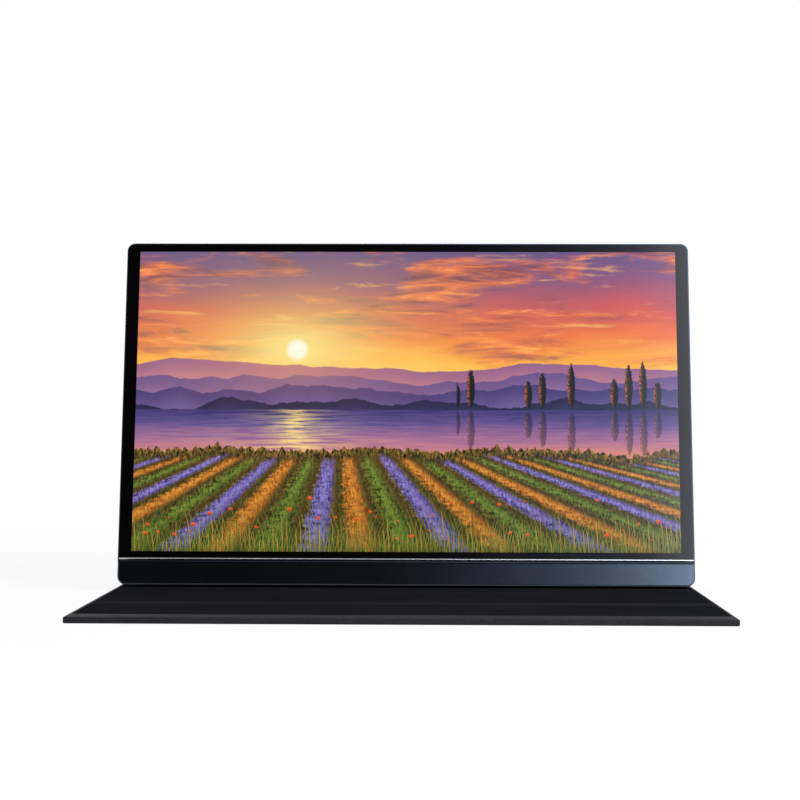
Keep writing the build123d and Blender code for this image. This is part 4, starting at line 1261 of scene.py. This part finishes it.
back_depth = -reach("rear_cover", foot_edge, towards_viewer)[0]
rear_axes = axes_at(foot_edge - towards_viewer * back_depth, -across, up)
into_rear = rear_axes.inverted()
screw_points = []
for place in island_middles("cover_screws"):
    local = into_rear @ place
    screw_points.append((local.x, local.y, 0.0))
screw_mesh = run_tree(screw_tree(), "cover_screw_heads", screw_points, screw_sizes)
screw_mesh.transform(rear_axes)
finish_piece("cover_screw_heads", screw_mesh, "screw_steel", "monitor", ["cover_screws"])

# %% [markdown]
# ## Contacts in the sockets
#
# Each socket has a tongue with a row of gilded contacts on both faces. One tree lays a row of small
# flat bars; it runs once for each face of each tongue with its own count and pitch.

# %% Build the contact rows
contact_sizes = {
    "Count": 12,
    "Pitch": 0.5 * mm,
    "Width": 0.26 * mm,
    "Length": 4.2 * mm,
    "Thickness": 0.06 * mm,
}
tongue_half = 0.35 * mm
tongue_setback = 0.9 * mm
# The contacts on each face of a socket's tongue, and their pitch.
sockets = {
    "data_port_lower": (12, 0.5 * mm),
    "data_port_upper": (12, 0.5 * mm),
    "mini_video_port": (10, 0.4 * mm),
}


def contact_tree():
    """A row of flat bars."""
    maker, size = new_tree("contact_row", contact_sizes)
    row = centred_row(maker, size["Count"], size["Pitch"], 1, 0)
    bar_size = maker.join(size["Width"], size["Thickness"], size["Length"])
    bar = maker.node("GeometryNodeMeshCube", None, {"Size": bar_size})
    return close_tree(maker, copies_on(maker, row, bar), finishes["contact_gold"])


contact_rows = contact_tree()
for node, (count, pitch) in sockets.items():
    port_middle = seat(node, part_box(node)[1].x, middle(node, frame_origin, towards_viewer))
    sizes = {**contact_sizes, "Count": count, "Pitch": pitch, "Width": pitch / 2}
    inwards = tongue_setback + sizes["Length"] / 2
    for face, side in (("front", 1), ("back", -1)):
        name = f"{node}_contacts_{face}"
        mesh = run_tree(contact_rows, name, [], sizes)
        mesh.transform(Matrix.Translation((0, side * tongue_half, -inwards)))
        mesh.transform(axes_at(port_middle, up, towards_viewer))
        finish_piece(name, mesh, "socket_steel", "monitor", finish="contact_gold")

# %% [markdown]
# ## Mesh behind the sound slots
#
# Behind the slots in the back lies a fine wire mesh that keeps dust out of the loudspeakers. The
# tree lays thin wires in two directions, one just above the other, as a woven mesh looks from near.

# %% Build the speaker mesh
wire_sizes = {"Width": 29.0 * mm, "Height": 7.2 * mm, "Pitch": 0.55 * mm, "Wire": 0.09 * mm}
gauze_depth = 0.3 * mm
# For each layer: the side that its wires are spread over, the side that they run along, whether the
# row goes along x or y, and its lift in radii of a wire.
wire_layers = [("Width", "Height", 1, 0, 0.0), ("Height", "Width", 0, 1, 0.8)]


def wire_tree():
    """Two layers of wires that cross."""
    maker, size = new_tree("wire_mesh", wire_sizes)
    layers = []
    for spread, length, on_x, on_y, lift in wire_layers:
        count = (size[spread] / size["Pitch"]).whole()
        row = centred_row(maker, count, size["Pitch"], on_x, on_y, size["Wire"] * lift)
        wire_values = {"Vertices": 6, "Radius": size["Wire"], "Depth": size[length]}
        wire = maker.node("GeometryNodeMeshCylinder", None, wire_values)
        layers.append(copies_on(maker, row, wire, (on_x * pi / 2, on_y * pi / 2, 0.0)))
    joined = maker.link_all(layers, maker.node("GeometryNodeJoinGeometry"), 0)
    return close_tree(maker, joined, finishes["moulded_black"])


wire_mesh = wire_tree()
for side in ("left", "right"):
    node = "speaker_" + side
    back = reach(node, frame_origin, towards_viewer)[0]
    place = seat(node, middle(node, frame_origin, across), back + gauze_depth)
    mesh = run_tree(wire_mesh, node + "_mesh", [], wire_sizes)
    mesh.transform(axes_at(place, -across, up))
    finish_piece(node + "_mesh", mesh, "moulded_black", "monitor")

# %% [markdown]
# ## Studio
#
# The object stands on a pale floor in a white room. Glossy black glass shows whatever is in front of
# it, so the room has one dark side: to the left of the camera hangs a black cloth, and to the right a
# large bluish window of soft light. Both are painted into the world by direction. What the camera
# sees directly, and what metal shows from behind the object, is the white background. The floor is
# painted white too, but a share of it near the object is lit paper, which takes the object's shadow.

# %% Name the light of the room
white = (1, 1, 1, 1)
plain_wall = (0.5, 0.5, 0.52, 1)
shiny_wall = (0.95, 0.95, 0.96, 1)
far_left_wall = (0.5, 0.5, 0.5, 1)
black_cloth = (0.038, 0.032, 0.027, 1)
window_light = (3.5, 3.95, 5.0, 1)
pane_light = (5.2, 5.3, 5.6, 1)

# %% Light the world
world = bpy.data.worlds.new("studio")
world.use_nodes = True
scene.world = world
room = Nodes(world.node_tree)
view_x, view_y, view_z = room.split(room.node("ShaderNodeTexCoord", out="Generated"))
to_front = view_y * -1
sideways = view_x / to_front.most(0.05)
seen = room.ray("Is Camera Ray") + room.ray("Is Transmission Ray")
glossy = room.ray("Is Glossy Ray")
in_front = to_front.rise(0.15, 0.5) * (1 - view_z.rise(0.5, 0.8))
window_end = 1 - sideways.rise(0.8, 1.8)
window = sideways.rise(-0.06, 0.26)
window = (window * 0.52 + 0.04) * window * window_end
pane = sideways.rise(0.112, 0.15) * 0.43 * window_end
cloth = sideways.rise(-0.95, -0.4)
front_side = room.mix(cloth, far_left_wall, black_cloth)
front_side = room.mix(window, front_side, window_light)
front_side = room.mix(pane, front_side, pane_light)
plain = room.mix(glossy, plain_wall, shiny_wall)
around = room.mix(in_front * glossy, plain, front_side)
background = world.node_tree.nodes["Background"]
room.put(background.inputs["Color"], room.mix(seen.least(1.0), around, white))
print("world ready")


# %% Hang the lamps
def softbox(name, place, aim, size, power, tint):
    """A square area lamp that points at a place."""
    data = bpy.data.lights.new(name, "AREA")
    data.size = size
    data.energy = power
    data.color = tint
    lamp = bpy.data.objects.new(name, data)
    scene.collection.objects.link(lamp)
    lamp.location = place
    lamp.rotation_euler = (Vector(aim) - Vector(place)).to_track_quat("-Z", "Y").to_euler()


monitor_middle = (0.0, 0.0, 0.11)
softbox("right_light", (1.0, -0.75, 0.75), monitor_middle, 0.8, 22.0, (0.97, 0.98, 1.0))
softbox("back_light", (-0.4, 1.5, 1.4), monitor_middle, 1.0, 6.0, (1.0, 1.0, 1.0))
print("lamps hung")

# %% Lay the floor
floor_half = 6.0
painted_share = 0.87
floor_corners = [(x * floor_half, y * floor_half, 0) for x, y in ((-1, -1), (1, -1), (1, 1), (-1, 1))]
floor_data = bpy.data.meshes.new("floor")
floor_data.from_pydata(floor_corners, [], [(0, 1, 2, 3)])
floor = bpy.data.objects.new("floor", floor_data)
scene.collection.objects.link(floor)
paper = Finish("floor_paper", Roughness=0.9)
paper.paint("Base Color", (0.9, 0.9, 0.9, 1))
shown = paper.ray("Is Camera Ray") + paper.ray("Is Glossy Ray") + paper.ray("Is Transmission Ray")
far = paper.node("ShaderNodeVectorMath", {"operation": "LENGTH"}, {0: paper.place}, out="Value")
share = shown.least(1.0) * (far.rise(0.25, 1.0) * (1 - painted_share) + painted_share)
painted = paper.node("ShaderNodeEmission", None, {"Color": white})
lit_paper = Wire(paper, paper.shader.outputs[0])
blended = paper.node("ShaderNodeMixShader", None, {0: share, 1: lit_paper, 2: painted})
paper.put(paper.tree.nodes["Material Output"].inputs["Surface"], blended)
floor_data.materials.append(paper.material)
print("floor laid")
